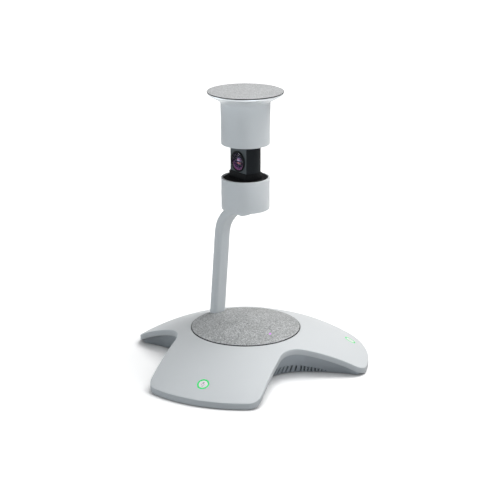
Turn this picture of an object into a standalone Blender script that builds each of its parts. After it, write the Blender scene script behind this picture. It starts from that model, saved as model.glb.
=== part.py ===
"""Tabletop conference phone: three-armed speaker base, bent post and a two-lens camera head.

Metres, +Z up. The origin is on the base's axis at table level, the status light faces -Y, the post stands
at +Y and the lenses look along -X and +X. The rest pose has the privacy cap raised.
"""
import math

import bmesh
import bpy
from mathutils import Matrix, Vector

MM = 0.001

# Clearances
FIT = 0.3 * MM
TRIM_GROOVE = 0.5 * MM

# Base cover: a spherical dome with three arms and a low rim that leans in
BASE_RADIUS = 130.0 * MM
DOME_RADIUS = 235.0 * MM
RIM_HEIGHT = 6.4 * MM
RIM_CLEARANCE = 1.07 * MM
RIM_LEAN = 1.6 * MM
SHELL_WALL = 3.2 * MM
NOTCH_APEX = 72.6 * MM
NOTCH_FILLET = 30.0 * MM
NOTCH_SLOPE = math.radians(31.3)
ARM_CORNER = 15.0 * MM
MIN_CORNER = 2.0 * MM
ARM_ANGLES = [math.radians(angle) for angle in (90, 210, 330)]
NOTCH_ANGLES = [math.radians(angle) for angle in (150, 270, 30)]

# Lower housing: an undercut tray inside the rim
FLOOR_BOTTOM = 1.0 * MM
HOUSING_WALL = 2.0 * MM
TONGUE = 3.0 * MM
UNDERCUT_RATE = 0.98
UNDERCUT_EASE = 9.8
SLOT_PITCH = 3.1 * MM
SLOT_WIDTH = 1.8 * MM
SLOT_BOTTOM = 2.0 * MM
SLOT_SIDE_COUNT = 12
SLOT_SHARE = 0.8
SLOT_LEAST = 1.7 * MM
SLOT_OVERCUT = 5.0 * MM

# Feet, ballast, board and screws
FOOT_RADIUS = 8.0 * MM
FOOT_INSET = 26.0 * MM
PAD_RADIUS = 24.0 * MM
BALLAST_INSET = 30.0 * MM
BALLAST_END_INSET = 32.0 * MM
BALLAST_HEIGHT = 3.0 * MM
BOARD_INSET = 20.0 * MM
BOARD_END_INSET = 32.0 * MM
BOARD_BOTTOM = 9.0 * MM
BOARD_HEIGHT = 1.6 * MM
SCREW_INSET = 42.0 * MM
SCREW_RADIUS = 1.5 * MM
SCREW_HEAD_RADIUS = 3.0 * MM
SCREW_HEAD_HEIGHT = 1.2 * MM
SCREW_LENGTH = 17.0 * MM
SMALL_HEAD_RADIUS = 2.55 * MM
BOSS_RADIUS = 4.0 * MM

# Inlet on the right side of the rear arm
PORT_INSET = 52.0 * MM
PORT_WINDOW_WIDTH = 14.0 * MM
PORT_WINDOW_BOTTOM = 7.5 * MM
PORT_WINDOW_TOP = 15.5 * MM
PORT_MOUTH_X = 47.0 * MM
PORT_WINDOW_REACH = 65.0 * MM
PORT_DEPTH = 8.0 * MM
PORT_WIDTH = 9.0 * MM
PORT_HEIGHT = 3.4 * MM
PORT_WALL = 0.4 * MM
PORT_OVERHANG = 2.5 * MM
EAR_MARGIN = 2.0 * MM

# Loudspeaker and its cloth
CLOTH_RADIUS = 57.4 * MM
CLOTH_HEIGHT = 0.8 * MM
CLOTH_PROUD = 0.4 * MM
GRILLE_HEIGHT = 2.0 * MM
GRILLE_EDGE = 1.0 * MM
GRILLE_SEAT = 3.4 * MM
GRILLE_HOLE_RADIUS = 2.5 * MM
GRILLE_HOLE_STEPS = 6
GRILLE_RINGS = (12.0 * MM, 24.0 * MM)
GRILLE_RING_COUNT = 5
BOX_RADIUS = 33.0 * MM
BOX_WALL = 2.0 * MM
BOX_DROP = 13.7 * MM
DRIVER_FLANGE = 1.7 * MM
DRIVER_NECK_DROP = 12.0 * MM
CONE_RADIUS = 29.5 * MM
CONE_DEPTH = 9.0 * MM
CONE_SKIN = 0.6 * MM
DUST_CAP_RADIUS = 8.0 * MM
DUST_CAP_RISE = 4.0 * MM
DUST_CAP_SHOULDER = (4.8 * MM, 3.2 * MM)
MAGNET_RADIUS = 15.5 * MM
MAGNET_CLEARANCE = 2.2 * MM
STATUS_PLACE = 41.0 * MM
STATUS_RADIUS = 1.2 * MM

# Mute keys, one on each arm
KEY_INSET = 17.0 * MM
KEY_RADIUS = 4.6 * MM
KEY_HEIGHT = 3.0 * MM
KEY_STEM_RADIUS = 2.0 * MM
KEY_TRAVEL = 0.6 * MM
RING_RADIUS = 6.1 * MM
RING_WIDTH = 1.2 * MM
HOLDER_WALL = 1.8 * MM
HOLDER_DEPTH = 6.5 * MM
KEY_BOARD_HEIGHT = 1.2 * MM
SWITCH_HEIGHT = 1.0 * MM
SWITCH_RADIUS = 2.2 * MM

# Post: a rounded rectangular tube in the X = 0 plane
POST_DEPTH = 11.5 * MM
POST_WIDTH = 15.0 * MM
POST_CORNER = 3.6 * MM
POST_WALL = 2.0 * MM
POST_LEAN = math.radians(5.9)
POST_BEND = 34.0 * MM
POST_TOP_LINE = 163.9 * MM
POST_NECK = 0.71
POST_NECK_START = math.radians(40)
POST_REF_Y = 49.3 * MM
POST_REF_Z = 43.0 * MM
POST_FOOT_WALL = 2.4 * MM
POST_FOOT_FLANGE = 8.0 * MM
POST_FOOT_FLOOR = 2.5 * MM
POST_FOOT_HEIGHT = 18.0 * MM
CABLE_RADIUS = 2.0 * MM
CABLE_TURN = 4.25 * MM
POST_END_ANGLES = [math.radians(angle) for angle in (30, 55, 75)]

# Cup that carries the camera
CUP_RADIUS = 25.0 * MM
CUP_DRAFT = 0.1 * MM
CUP_GAP = 0.35 * MM
CUP_HEIGHT = 33.0 * MM
CUP_WALL = 2.0 * MM
CUP_FLOOR = 2.4 * MM
CUP_EDGE = 0.8 * MM
DECK_STEP = 1.0 * MM
DECK_DROP = 0.7 * MM
DECK_HEIGHT = 2.3 * MM
BOARD_SEAT = 14.0 * MM
BOARD_STEP = 1.5 * MM
CABLE_HOLE = 3.3 * MM
CUP_SCREW_Y = 8.0 * MM
CUP_SCREW_RADIUS = 1.0 * MM
CUP_SCREW_HEAD = 1.9 * MM

# Camera column: a round bar with two flats, one lens on each flat
COLUMN_RADIUS = 16.2 * MM
COLUMN_FLAT = 9.3 * MM
COLUMN_WALL = 1.6 * MM
COLLAR_STEP = 1.1 * MM
COLLAR_RISE = 6.3 * MM
LENS_RISE = 17.6 * MM
COLUMN_RISE = 29.4 * MM
BEZEL_RADIUS = 10.7 * MM
BEZEL_HEIGHT = 0.9 * MM
LENS_RADIUS = 8.8 * MM
LENS_EDGE = 0.4 * MM
LENS_CROWN = 0.6 * MM
BARREL_LENGTH = 8.0 * MM
BARREL_STEPS = ((7.5 * MM, 0.0), (6.9 * MM, 2.0 * MM), (3.4 * MM, 4.4 * MM), (3.4 * MM, BARREL_LENGTH))
SENSOR_HEIGHT = 1.1 * MM
SENSOR_WIDTH = 27.0 * MM
SENSOR_TALL = 20.0 * MM

# Privacy cap that slides down over the column
CAP_LIFT = 35.0 * MM
CAP_RADIUS = 25.0 * MM
CAP_WALL = 2.05 * MM
CAP_EDGE = 0.5 * MM
CAP_SHOULDER_RISE = 28.0 * MM
CAP_SHOULDER_RADIUS = 25.15 * MM
CAP_NECK_RISE = 43.7 * MM
CAP_NECK_RADIUS = 25.5 * MM
FLANGE_RADIUS = 38.5 * MM
FLANGE_RISE = 7.6 * MM
FLANGE_HEIGHT = 1.7 * MM
FLANGE_LIP = 1.3 * MM
FLANGE_LEDGE = 2.2 * MM
CAP_PLATE_HEIGHT = 1.2 * MM
CAP_CLOTH_RADIUS = 39.0 * MM
CAP_CLOTH_HEIGHT = 0.8 * MM
CAP_CLOTH_EDGE = 0.3 * MM
MIC_BOARD_RADIUS = 20.0 * MM
MIC_BOARD_HEIGHT = 1.2 * MM
BUSH_HEIGHT = 4.6 * MM
BUSH_DROP = 0.2 * MM
BUSH_LENS_GAP = 0.4 * MM
STOP_RADIUS = 19.5 * MM
STOP_HEIGHT = 1.1 * MM
STOP_SCREW_RADIUS = 1.2 * MM
STOP_SCREW_HEAD = 2.4 * MM

# Heights and places that follow from the sizes above
DOME_RISE = DOME_RADIUS - math.sqrt(DOME_RADIUS ** 2 - BASE_RADIUS ** 2)
DOME_TOP = RIM_CLEARANCE + RIM_HEIGHT + DOME_RISE
FOOT_PLACE = BASE_RADIUS - FOOT_INSET
SCREW_PLACE = BASE_RADIUS - SCREW_INSET
KEY_PLACE = BASE_RADIUS - KEY_INSET
PORT_Y = BASE_RADIUS - PORT_INSET
BALLAST_END = BASE_RADIUS - BALLAST_END_INSET
BOARD_END = BASE_RADIUS - BOARD_END_INSET
FLOOR_TOP = FLOOR_BOTTOM + HOUSING_WALL
BALLAST_BOTTOM = FLOOR_TOP + FIT
BALLAST_TOP = BALLAST_BOTTOM + BALLAST_HEIGHT
BOARD_TOP = BOARD_BOTTOM + BOARD_HEIGHT
FOOT_BOTTOM = BALLAST_TOP + FIT
POST_BOTTOM = FOOT_BOTTOM + POST_FOOT_FLOOR + FIT
BOX_TOP = DOME_TOP - BOX_DROP
RECESS_RADIUS = CLOTH_RADIUS + TRIM_GROOVE
RECESS_DEPTH = CLOTH_HEIGHT - CLOTH_PROUD + FIT + GRILLE_EDGE + FIT
OPENING_RADIUS = CLOTH_RADIUS - GRILLE_SEAT
POST_TOP = POST_TOP_LINE + POST_DEPTH / 2
POST_END_LINE = POST_TOP - POST_NECK * POST_DEPTH / 2
CUP_BOTTOM = POST_TOP + CUP_GAP
CUP_INSIDE = CUP_BOTTOM + CUP_FLOOR + BOARD_STEP
CUP_TOP = CUP_BOTTOM + CUP_HEIGHT
COLLAR_TOP = CUP_TOP + COLLAR_RISE
LENS_Z = CUP_TOP + LENS_RISE
COLUMN_TOP = LENS_Z + COLUMN_RISE
CAP_BOTTOM = CUP_TOP + CAP_LIFT
CAP_SHOULDER = CAP_BOTTOM + CAP_SHOULDER_RISE
CAP_NECK = CAP_BOTTOM + CAP_NECK_RISE
FLANGE_EDGE = CAP_NECK + FLANGE_RISE
FLANGE_TOP = FLANGE_EDGE + FLANGE_HEIGHT

# Facets
ROUND_STEPS = 18
HEAD_STEPS = 28
CLOTH_STEPS = 36
LENS_STEPS = 14
KEY_STEPS = 14
SMALL_STEPS = 8
DOME_RINGS = 5
CLOTH_RINGS = 3
CROWN_RINGS = 3
FILLET_STEPS = 2
SIDE_STEPS = 2
CORNER_STEPS = 3
END_STEPS = 3
BEND_STEPS = 7

for leftover in list(bpy.data.objects):
    bpy.data.objects.remove(leftover, do_unlink=True)

phone = bpy.data.collections.new("conference_phone")
cutters = bpy.data.collections.new("cutters")
for group in (phone, cutters):
    bpy.context.scene.collection.children.link(group)


def make_material(name, colour, roughness, metallic=0.0):
    material = bpy.data.materials.new(name)
    material.use_nodes = True
    shader = material.node_tree.nodes["Principled BSDF"]
    shader.inputs["Base Color"].default_value = (*colour, 1.0)
    shader.inputs["Roughness"].default_value = roughness
    shader.inputs["Metallic"].default_value = metallic
    return material


SHELL_PLASTIC = make_material("shell_plastic", (0.68, 0.71, 0.73), 0.42)
HOUSING_PLASTIC = make_material("housing_plastic", (0.52, 0.55, 0.58), 0.5)
BLACK_PLASTIC = make_material("black_plastic", (0.02, 0.022, 0.023), 0.4)
KEY_PLASTIC = make_material("key_plastic", (0.72, 0.75, 0.76), 0.4)
CLOTH = make_material("grey_cloth", (0.42, 0.43, 0.43), 0.9)
RUBBER = make_material("foot_rubber", (0.03, 0.03, 0.03), 0.8)
STEEL = make_material("zinc_steel", (0.55, 0.56, 0.58), 0.35, 1.0)
BOARD = make_material("circuit_board", (0.02, 0.12, 0.06), 0.5)
PAPER = make_material("speaker_paper", (0.05, 0.05, 0.05), 0.85)
GREEN_GUIDE = make_material("green_light_guide", (0.13, 0.87, 0.3), 0.3)
MAGENTA_GUIDE = make_material("magenta_light_guide", (0.77, 0.2, 0.91), 0.3)
GLASS = make_material("coated_glass", (0.06, 0.02, 0.08), 0.05)
CABLE = make_material("cable_jacket", (0.04, 0.04, 0.045), 0.6)


def add_mesh_object(name, mesh, material, collection=phone):
    """Link a mesh as one named piece, shaded smooth with crisp edges."""
    thing = bpy.data.objects.new(name, mesh)
    collection.objects.link(thing)
    if material:
        mesh.materials.append(material)
    mesh.shade_smooth()
    mesh.set_sharp_from_angle(angle=math.radians(35))
    if collection is cutters:
        thing.hide_render = True
        thing.display_type = "WIRE"
    return thing


def boolean(target, tool, operation="DIFFERENCE"):
    """Cut a piece with a tool body, or join the tool to it."""
    modifier = target.modifiers.new(tool.name, "BOOLEAN")
    modifier.operation = operation
    modifier.solver = "EXACT"
    modifier.object = tool


def turned(name, profile, material, steps=ROUND_STEPS, closed=False, collection=phone):
    """Turn a profile of (radius, z) points, which runs down its outer side, about the Z axis."""
    mesh = bpy.data.meshes.new(name)
    edges = [(i, i + 1) for i in range(len(profile) - 1)]
    if closed:
        edges.append((len(profile) - 1, 0))
    mesh.from_pydata([(radius, 0.0, z) for radius, z in profile], edges, [])
    thing = add_mesh_object(name, mesh, material, collection)
    screw = thing.modifiers.new("turn", "SCREW")
    screw.axis = "Z"
    screw.steps = steps
    screw.render_steps = steps
    screw.use_merge_vertices = True
    screw.merge_threshold = 0.00001
    screw.use_smooth_shade = False
    return thing


def disc(name, radius, bottom, top, material, steps=ROUND_STEPS, collection=phone):
    return turned(name, [(0, top), (radius, top), (radius, bottom), (0, bottom)], material, steps,
                  collection=collection)


def tool_from(name, shape):
    mesh = bpy.data.meshes.new(name)
    shape.to_mesh(mesh)
    shape.free()
    return add_mesh_object(name, mesh, None, cutters)


def drums(name, frames, radius, bottom, top, steps=SMALL_STEPS):
    """One tool with a round drum along the Z axis of each frame."""
    shape = bmesh.new()
    for frame in frames:
        place = frame @ Matrix.Translation((0.0, 0.0, (top + bottom) / 2))
        bmesh.ops.create_cone(shape, cap_ends=True, segments=steps, radius1=radius, radius2=radius,
                              depth=top - bottom, matrix=place)
    return tool_from(name, shape)


def curve_to_mesh(name, curve, matrix, material, collection):
    """Turn a curve into a closed mesh piece and drop the curve."""
    guide = bpy.data.objects.new(name + "_curve", curve)
    bpy.context.scene.collection.objects.link(guide)
    guide.matrix_world = matrix
    bpy.context.view_layer.update()
    evaluated = guide.evaluated_get(bpy.context.evaluated_depsgraph_get())
    mesh = bpy.data.meshes.new_from_object(evaluated)
    shape = bmesh.new()
    shape.from_mesh(mesh)
    bmesh.ops.remove_doubles(shape, verts=shape.verts, dist=0.000001)
    bmesh.ops.recalc_face_normals(shape, faces=shape.faces)
    shape.to_mesh(mesh)
    shape.free()
    bpy.data.objects.remove(guide, do_unlink=True)
    mesh.materials.clear()
    mesh.name = name
    thing = add_mesh_object(name, mesh, material, collection)
    thing.matrix_world = matrix
    return thing


def plate(name, outlines, bottom, top, material, collection=phone, matrix=Matrix()):
    """Extrude flat outlines between two heights. A second outline is a hole in the first."""
    curve = bpy.data.curves.new(name, "CURVE")
    curve.dimensions = "2D"
    curve.fill_mode = "BOTH"
    curve.extrude = (top - bottom) / 2
    for outline in outlines:
        spline = curve.splines.new("POLY")
        spline.points.add(len(outline) - 1)
        for point, (x, y) in zip(spline.points, outline):
            point.co = (x, y, 0.0, 1.0)
        spline.use_cyclic_u = True
    placed = matrix @ Matrix.Translation((0.0, 0.0, (top + bottom) / 2))
    return curve_to_mesh(name, curve, placed, material, collection)


def box(name, low, high, material, collection=phone, matrix=Matrix()):
    outline = [(low[0], low[1]), (high[0], low[1]), (high[0], high[1]), (low[0], high[1])]
    return plate(name, [outline], low[2], high[2], material, collection, matrix)


def arc(centre, radius, start, end, steps):
    """Points on an arc, its first and last point included."""
    angles = [start + (end - start) * i / steps for i in range(steps + 1)]
    return [(centre[0] + radius * math.cos(a), centre[1] + radius * math.sin(a)) for a in angles]


def circle(radius, steps=ROUND_STEPS, centre=(0.0, 0.0)):
    return arc(centre, radius, 0.0, 2 * math.pi, steps)[:-1]


def rounded_rectangle(width, depth, corner, steps=2):
    """Rectangle across X (width) and Y (depth) with round corners."""
    points = []
    for quarter, (sx, sy) in enumerate(((1, 1), (-1, 1), (-1, -1), (1, -1))):
        centre = (sx * (width / 2 - corner), sy * (depth / 2 - corner))
        points += arc(centre, corner, quarter * math.pi / 2, (quarter + 1) * math.pi / 2, steps)
    return points


def double_d(radius, flat, steps=10):
    """Circle cut by two flats at X = -flat and X = +flat."""
    half = math.asin(flat / radius)
    return (arc((0, 0), radius, math.pi / 2 - half, math.pi / 2 + half, steps)
            + arc((0, 0), radius, 1.5 * math.pi - half, 1.5 * math.pi + half, steps))


def dome_z(radius):
    return DOME_TOP - DOME_RADIUS + math.sqrt(DOME_RADIUS ** 2 - radius ** 2)


def base_outline(inset=0.0, end_radius=None):
    """Plan outline of the three arms, moved inwards, as (point, outward normal) pairs.

    Each notch is a concave fillet, two straight sides and two convex corners that run into the end circle.
    """
    radius = end_radius or BASE_RADIUS - inset
    fillet = NOTCH_FILLET + inset
    corner = max(ARM_CORNER - inset, MIN_CORNER)
    along = Vector((math.cos(NOTCH_SLOPE), math.sin(NOTCH_SLOPE)))
    inward = Vector((math.sin(NOTCH_SLOPE), -math.cos(NOTCH_SLOPE)))
    fillet_centre = Vector((0.0, NOTCH_APEX - inset + fillet))
    side_start = fillet_centre + inward * fillet
    corner_line = side_start + inward * corner
    lean = corner_line.dot(along)
    reach = math.sqrt(lean ** 2 - corner_line.length_squared + (radius - corner) ** 2) - lean
    corner_centre = corner_line + along * reach
    side_end = corner_centre - inward * corner
    end_angle = math.atan2(corner_centre.y, corner_centre.x)
    half = []
    for i in range(FILLET_STEPS):
        turn = NOTCH_SLOPE * i / FILLET_STEPS
        normal = Vector((-math.sin(turn), math.cos(turn)))
        half.append((fillet_centre - normal * fillet, normal))
    for i in range(SIDE_STEPS):
        half.append((side_start.lerp(side_end, i / SIDE_STEPS), -inward))
    for i in range(CORNER_STEPS):
        turn = math.pi / 2 + NOTCH_SLOPE
        turn += (end_angle - turn) * i / CORNER_STEPS
        normal = Vector((math.cos(turn), math.sin(turn)))
        half.append((corner_centre + normal * corner, normal))
    for i in range(END_STEPS + 1):
        turn = end_angle + (math.pi / 6 - end_angle) * i / END_STEPS
        normal = Vector((math.cos(turn), math.sin(turn)))
        half.append((normal * radius, normal))
    mirrored = [(Vector((-p.x, p.y)), Vector((-n.x, n.y))) for p, n in half[:0:-1]]
    outline = []
    for angle in NOTCH_ANGLES:
        turn = Matrix.Rotation(angle - math.pi / 2, 2)
        outline += [(turn @ p, turn @ n) for p, n in (mirrored + half)[:0:-1]]
    return outline


def outline_points(inset, end_radius):
    return [tuple(point) for point, normal in base_outline(inset, end_radius)]


def rim_bottom(point):
    return dome_z(point.length) - RIM_HEIGHT


def undercut(height):
    """How far the tray's foot stands in from the rim, for a rim edge at this height."""
    return UNDERCUT_RATE * height - UNDERCUT_EASE * height ** 2


def solidified(name, shape, thickness, material):
    """Give an open surface a wall on its inner side."""
    mesh = bpy.data.meshes.new(name)
    shape.to_mesh(mesh)
    shape.free()
    thing = add_mesh_object(name, mesh, material)
    wall = thing.modifiers.new("wall", "SOLIDIFY")
    wall.thickness = thickness
    wall.offset = -1.0
    wall.use_even_offset = True
    return thing


def polar(radius, angle, z=0.0):
    return Vector((radius * math.cos(angle), radius * math.sin(angle), z))


def key_matrix(angle):
    """Frame on the dome at a mute key, with its Z along the dome's normal."""
    tilt = math.asin(KEY_PLACE / DOME_RADIUS)
    place = Matrix.Translation(polar(KEY_PLACE, angle, dome_z(KEY_PLACE)))
    return place @ Matrix.Rotation(angle, 4, "Z") @ Matrix.Rotation(tilt, 4, "Y")


# Post centre line: straight, one bend, and a short run under the cup
def post_line(z):
    return POST_REF_Y - math.tan(POST_LEAN) * (z - POST_REF_Z)


POST_FRAME = Matrix.Translation((0.0, POST_REF_Y, POST_REF_Z)) @ Matrix.Rotation(POST_LEAN, 4, "X")

SCREW_FRAMES = [Matrix.Translation(polar(SCREW_PLACE, angle)) for angle in ARM_ANGLES]

# Tools that cut more than one piece
POST_CLEARANCE = rounded_rectangle(POST_WIDTH + 2 * FIT, POST_DEPTH + 2 * FIT, POST_CORNER + FIT)
POST_HOLE = plate("post_hole", [POST_CLEARANCE], -POST_REF_Z / 2, POST_REF_Z, None, cutters, POST_FRAME)
STATUS_HOLE = disc("status_hole", STATUS_RADIUS + FIT, BOARD_TOP, DOME_TOP + RIM_HEIGHT, None, SMALL_STEPS,
                   cutters)
STATUS_HOLE.location = (0.0, -STATUS_PLACE, 0.0)
CABLE_CUT = disc("cable_hole", CABLE_HOLE, POST_END_LINE, CUP_INSIDE, None, SMALL_STEPS, cutters)
CUP_SCREW_CUT = disc("cup_screw_hole", CUP_SCREW_RADIUS + FIT, POST_END_LINE, CUP_INSIDE, None, SMALL_STEPS,
                     cutters)
CUP_SCREW_CUT.location = (0.0, CUP_SCREW_Y, 0.0)


def top_shell():
    """Domed cover: a star-shaped grid on the dome with a leaning rim, then walls, bosses and openings."""
    outline = base_outline()
    shape = bmesh.new()
    rings = [[shape.verts.new((0.0, 0.0, DOME_TOP))] * len(outline)]
    for k in range(1, DOME_RINGS + 1):
        points = [point * k / DOME_RINGS for point, normal in outline]
        rings.append([shape.verts.new((*p, dome_z(p.length))) for p in points])
    rings.append([shape.verts.new((*(p - normal * RIM_LEAN), rim_bottom(p))) for p, normal in outline])
    for upper, lower in zip(rings, rings[1:]):
        for i in range(len(outline)):
            j = (i + 1) % len(outline)
            corners = [upper[i], lower[i], lower[j], upper[j]]
            shape.faces.new(dict.fromkeys(corners))
    shell = solidified("top_shell", shape, SHELL_WALL, SHELL_PLASTIC)
    high = DOME_TOP + RIM_HEIGHT
    recess = turned("cloth_recess", [(0, high), (RECESS_RADIUS, high),
                                     (RECESS_RADIUS, dome_z(RECESS_RADIUS) - RECESS_DEPTH),
                                     (OPENING_RADIUS, dome_z(OPENING_RADIUS) - RECESS_DEPTH),
                                     (OPENING_RADIUS, 0), (0, 0)], None, CLOTH_STEPS, collection=cutters)
    boolean(shell, recess)
    boolean(shell, POST_HOLE)
    boolean(shell, screw_bosses(), "UNION")
    pilot_top = FLOOR_BOTTOM + SCREW_LENGTH + 2 * FIT
    boolean(shell, drums("cover_pilots", SCREW_FRAMES, SCREW_RADIUS + FIT, 0.0, pilot_top))
    keys = [key_matrix(angle) for angle in ARM_ANGLES]
    hole = RING_RADIUS + FIT
    holders = drums("key_holders", keys, hole + HOLDER_WALL, -HOLDER_DEPTH, -SHELL_WALL / 2, KEY_STEPS)
    boolean(shell, holders, "UNION")
    boolean(shell, drums("key_holes", keys, hole, -2 * HOLDER_DEPTH, HOLDER_DEPTH, KEY_STEPS))


def screw_bosses():
    """Round bosses that run from the board up into the middle of the dome's wall."""
    shape = bmesh.new()
    for frame in SCREW_FRAMES:
        bmesh.ops.create_cone(shape, cap_ends=True, segments=KEY_STEPS, radius1=BOSS_RADIUS,
                              radius2=BOSS_RADIUS, depth=1.0, matrix=frame @ Matrix.Translation((0, 0, 0.5)))
    for vertex in shape.verts:
        upper = vertex.co.z > 0.5
        vertex.co.z = dome_z(vertex.co.xy.length) - SHELL_WALL / 2 if upper else BOARD_TOP + FIT
    return tool_from("cover_bosses", shape)


def lower_housing():
    """Undercut tray with pillars for the board, screw holes, vent slots and the socket's window."""
    tuck = SHELL_WALL + RIM_LEAN + FIT
    shape = bmesh.new()
    loops = [[], [], []]
    for point, normal in base_outline():
        edge = rim_bottom(point)
        tucked = point - normal * tuck
        foot = point - normal * max(undercut(edge), tuck + FIT)
        loops[0].append(shape.verts.new((*tucked, edge + TONGUE)))
        loops[1].append(shape.verts.new((*tucked, max(edge, FLOOR_BOTTOM + 2 * FIT))))
        loops[2].append(shape.verts.new((*foot, FLOOR_BOTTOM)))
    for upper, lower in zip(loops, loops[1:]):
        for i in range(len(upper)):
            j = (i + 1) % len(upper)
            shape.faces.new((upper[i], lower[i], lower[j], upper[j]))
    shape.faces.new(loops[2][::-1])
    tray = solidified("lower_housing", shape, HOUSING_WALL, HOUSING_PLASTIC)
    well_top = FLOOR_BOTTOM + SCREW_HEAD_HEIGHT + 2 * FIT
    pillars = drums("pillars", SCREW_FRAMES, BOSS_RADIUS, FLOOR_BOTTOM + HOUSING_WALL / 2, BOARD_BOTTOM - FIT,
                    KEY_STEPS)
    boolean(tray, pillars, "UNION")
    boolean(tray, drums("head_wells", SCREW_FRAMES, SCREW_HEAD_RADIUS + FIT, 0.0, well_top))
    boolean(tray, drums("screw_holes", SCREW_FRAMES, SCREW_RADIUS + FIT, 0.0, BOARD_TOP))
    boolean(tray, vent_slots())
    half = PORT_WINDOW_WIDTH / 2
    window = box("port_window", (PORT_MOUTH_X - PORT_DEPTH, PORT_Y - half, PORT_WINDOW_BOTTOM),
                 (PORT_WINDOW_REACH, PORT_Y + half, PORT_WINDOW_TOP), None, cutters)
    boolean(tray, window)


def notch_point(notch, across):
    """Point of the front notch's outline at a distance across it."""
    i = next(i for i in range(len(notch) - 1) if notch[i].x <= across <= notch[i + 1].x)
    return notch[i].lerp(notch[i + 1], (across - notch[i].x) / (notch[i + 1].x - notch[i].x))


def vent_slots():
    """One tool with every upright slot of the three notch walls, evenly spaced across each notch."""
    shape = bmesh.new()
    notch = [p for p, normal in base_outline() if abs(math.atan2(p.x, -p.y)) < math.pi / 3]
    notch.sort(key=lambda p: p.x)
    last_edge = rim_bottom(notch_point(notch, SLOT_SIDE_COUNT * SLOT_PITCH))
    for k in range(-SLOT_SIDE_COUNT, SLOT_SIDE_COUNT + 1):
        point = notch_point(notch, k * SLOT_PITCH)
        edge = rim_bottom(point)
        tall = SLOT_LEAST + SLOT_SHARE * (edge - last_edge)
        deep = undercut(edge) / math.cos(NOTCH_SLOPE) + SLOT_OVERCUT
        centre = Vector((point.x, point.y + deep / 2, SLOT_BOTTOM + tall / 2))
        for angle in NOTCH_ANGLES:
            turn = Matrix.Rotation(angle + math.pi / 2, 4, "Z")
            place = turn @ Matrix.Translation(centre) @ Matrix.Diagonal((SLOT_WIDTH, deep, tall, 1.0))
            bmesh.ops.create_cube(shape, size=1.0, matrix=place)
    return tool_from("vent_slots", shape)


def feet_and_screws():
    """Rubber pads under the tray and the screws that hold the cover from below."""
    pad_top = FLOOR_BOTTOM - FIT
    disc("centre_pad", PAD_RADIUS, 0.0, pad_top, RUBBER)
    for index, angle in enumerate(ARM_ANGLES, 1):
        foot = disc(f"rubber_foot_{index}", FOOT_RADIUS, 0.0, pad_top, RUBBER, SMALL_STEPS)
        foot.location = polar(FOOT_PLACE, angle)
        head = FLOOR_BOTTOM + FIT
        shank = head + SCREW_HEAD_HEIGHT
        tip = FLOOR_BOTTOM + SCREW_LENGTH
        screw = turned(f"base_screw_{index}",
                       [(0, tip), (SCREW_RADIUS, tip - SCREW_RADIUS), (SCREW_RADIUS, shank),
                        (SCREW_HEAD_RADIUS, shank), (SCREW_HEAD_RADIUS, head), (0, head)], STEEL, SMALL_STEPS)
        screw.location = polar(SCREW_PLACE, angle)


def board_outline():
    """Outline of the board, with a square ear towards the inlet on the right side of the rear arm."""
    points = [point for point, normal in base_outline(BOARD_INSET, BOARD_END)]
    low = PORT_Y - PORT_WIDTH / 2 - EAR_MARGIN
    high = PORT_Y + PORT_WIDTH / 2 + EAR_MARGIN
    reach = PORT_MOUTH_X - PORT_OVERHANG
    outline = []
    for p, q in zip(points, points[1:] + points[:1]):
        right = p.x > 0
        if not (right and low < p.y < high):
            outline.append(p)
        if right and p.y <= low < q.y:
            outline += [p.lerp(q, (low - p.y) / (q.y - p.y)), Vector((reach, low))]
        if right and p.y < high <= q.y:
            outline += [Vector((reach, high)), p.lerp(q, (high - p.y) / (q.y - p.y))]
    return outline


def ballast_and_board():
    """Steel weight on the tray's floor and the circuit board on the pillars above it."""
    pillars = [circle(BOSS_RADIUS + FIT, KEY_STEPS, polar(SCREW_PLACE, angle).xy) for angle in ARM_ANGLES]
    weight = outline_points(BALLAST_INSET, BALLAST_END)
    plate("ballast_plate", [weight] + pillars, BALLAST_BOTTOM, BALLAST_TOP, STEEL)
    screws = [circle(SCREW_RADIUS + FIT, SMALL_STEPS, polar(SCREW_PLACE, angle).xy) for angle in ARM_ANGLES]
    half_width = POST_WIDTH / 2 + POST_FOOT_FLANGE + FIT
    half_depth = POST_DEPTH / 2 + POST_FOOT_WALL + 2 * FIT + math.tan(POST_LEAN) * BOARD_TOP
    middle = post_line(FOOT_BOTTOM)
    post_gap = [(-half_width, middle - half_depth), (half_width, middle - half_depth),
                (half_width, middle + half_depth), (-half_width, middle + half_depth)]
    holes = [circle(BOX_RADIUS + FIT), post_gap] + screws
    plate("main_board", [board_outline()] + holes, BOARD_BOTTOM, BOARD_TOP, BOARD)


def inlet():
    """Flat metal socket on the board's ear, open towards +X."""
    low = BOARD_TOP + FIT
    half = PORT_WIDTH / 2
    socket = box("usb_socket", (PORT_MOUTH_X - PORT_DEPTH, PORT_Y - half, low),
                 (PORT_MOUTH_X, PORT_Y + half, low + PORT_HEIGHT), STEEL)
    back = PORT_MOUTH_X - PORT_DEPTH + 2 * PORT_WALL
    mouth = box("usb_mouth", (back, PORT_Y - half + PORT_WALL, low + PORT_WALL),
                (PORT_MOUTH_X + PORT_WALL, PORT_Y + half - PORT_WALL, low + PORT_HEIGHT - PORT_WALL), None,
                cutters)
    boolean(socket, mouth)


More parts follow.
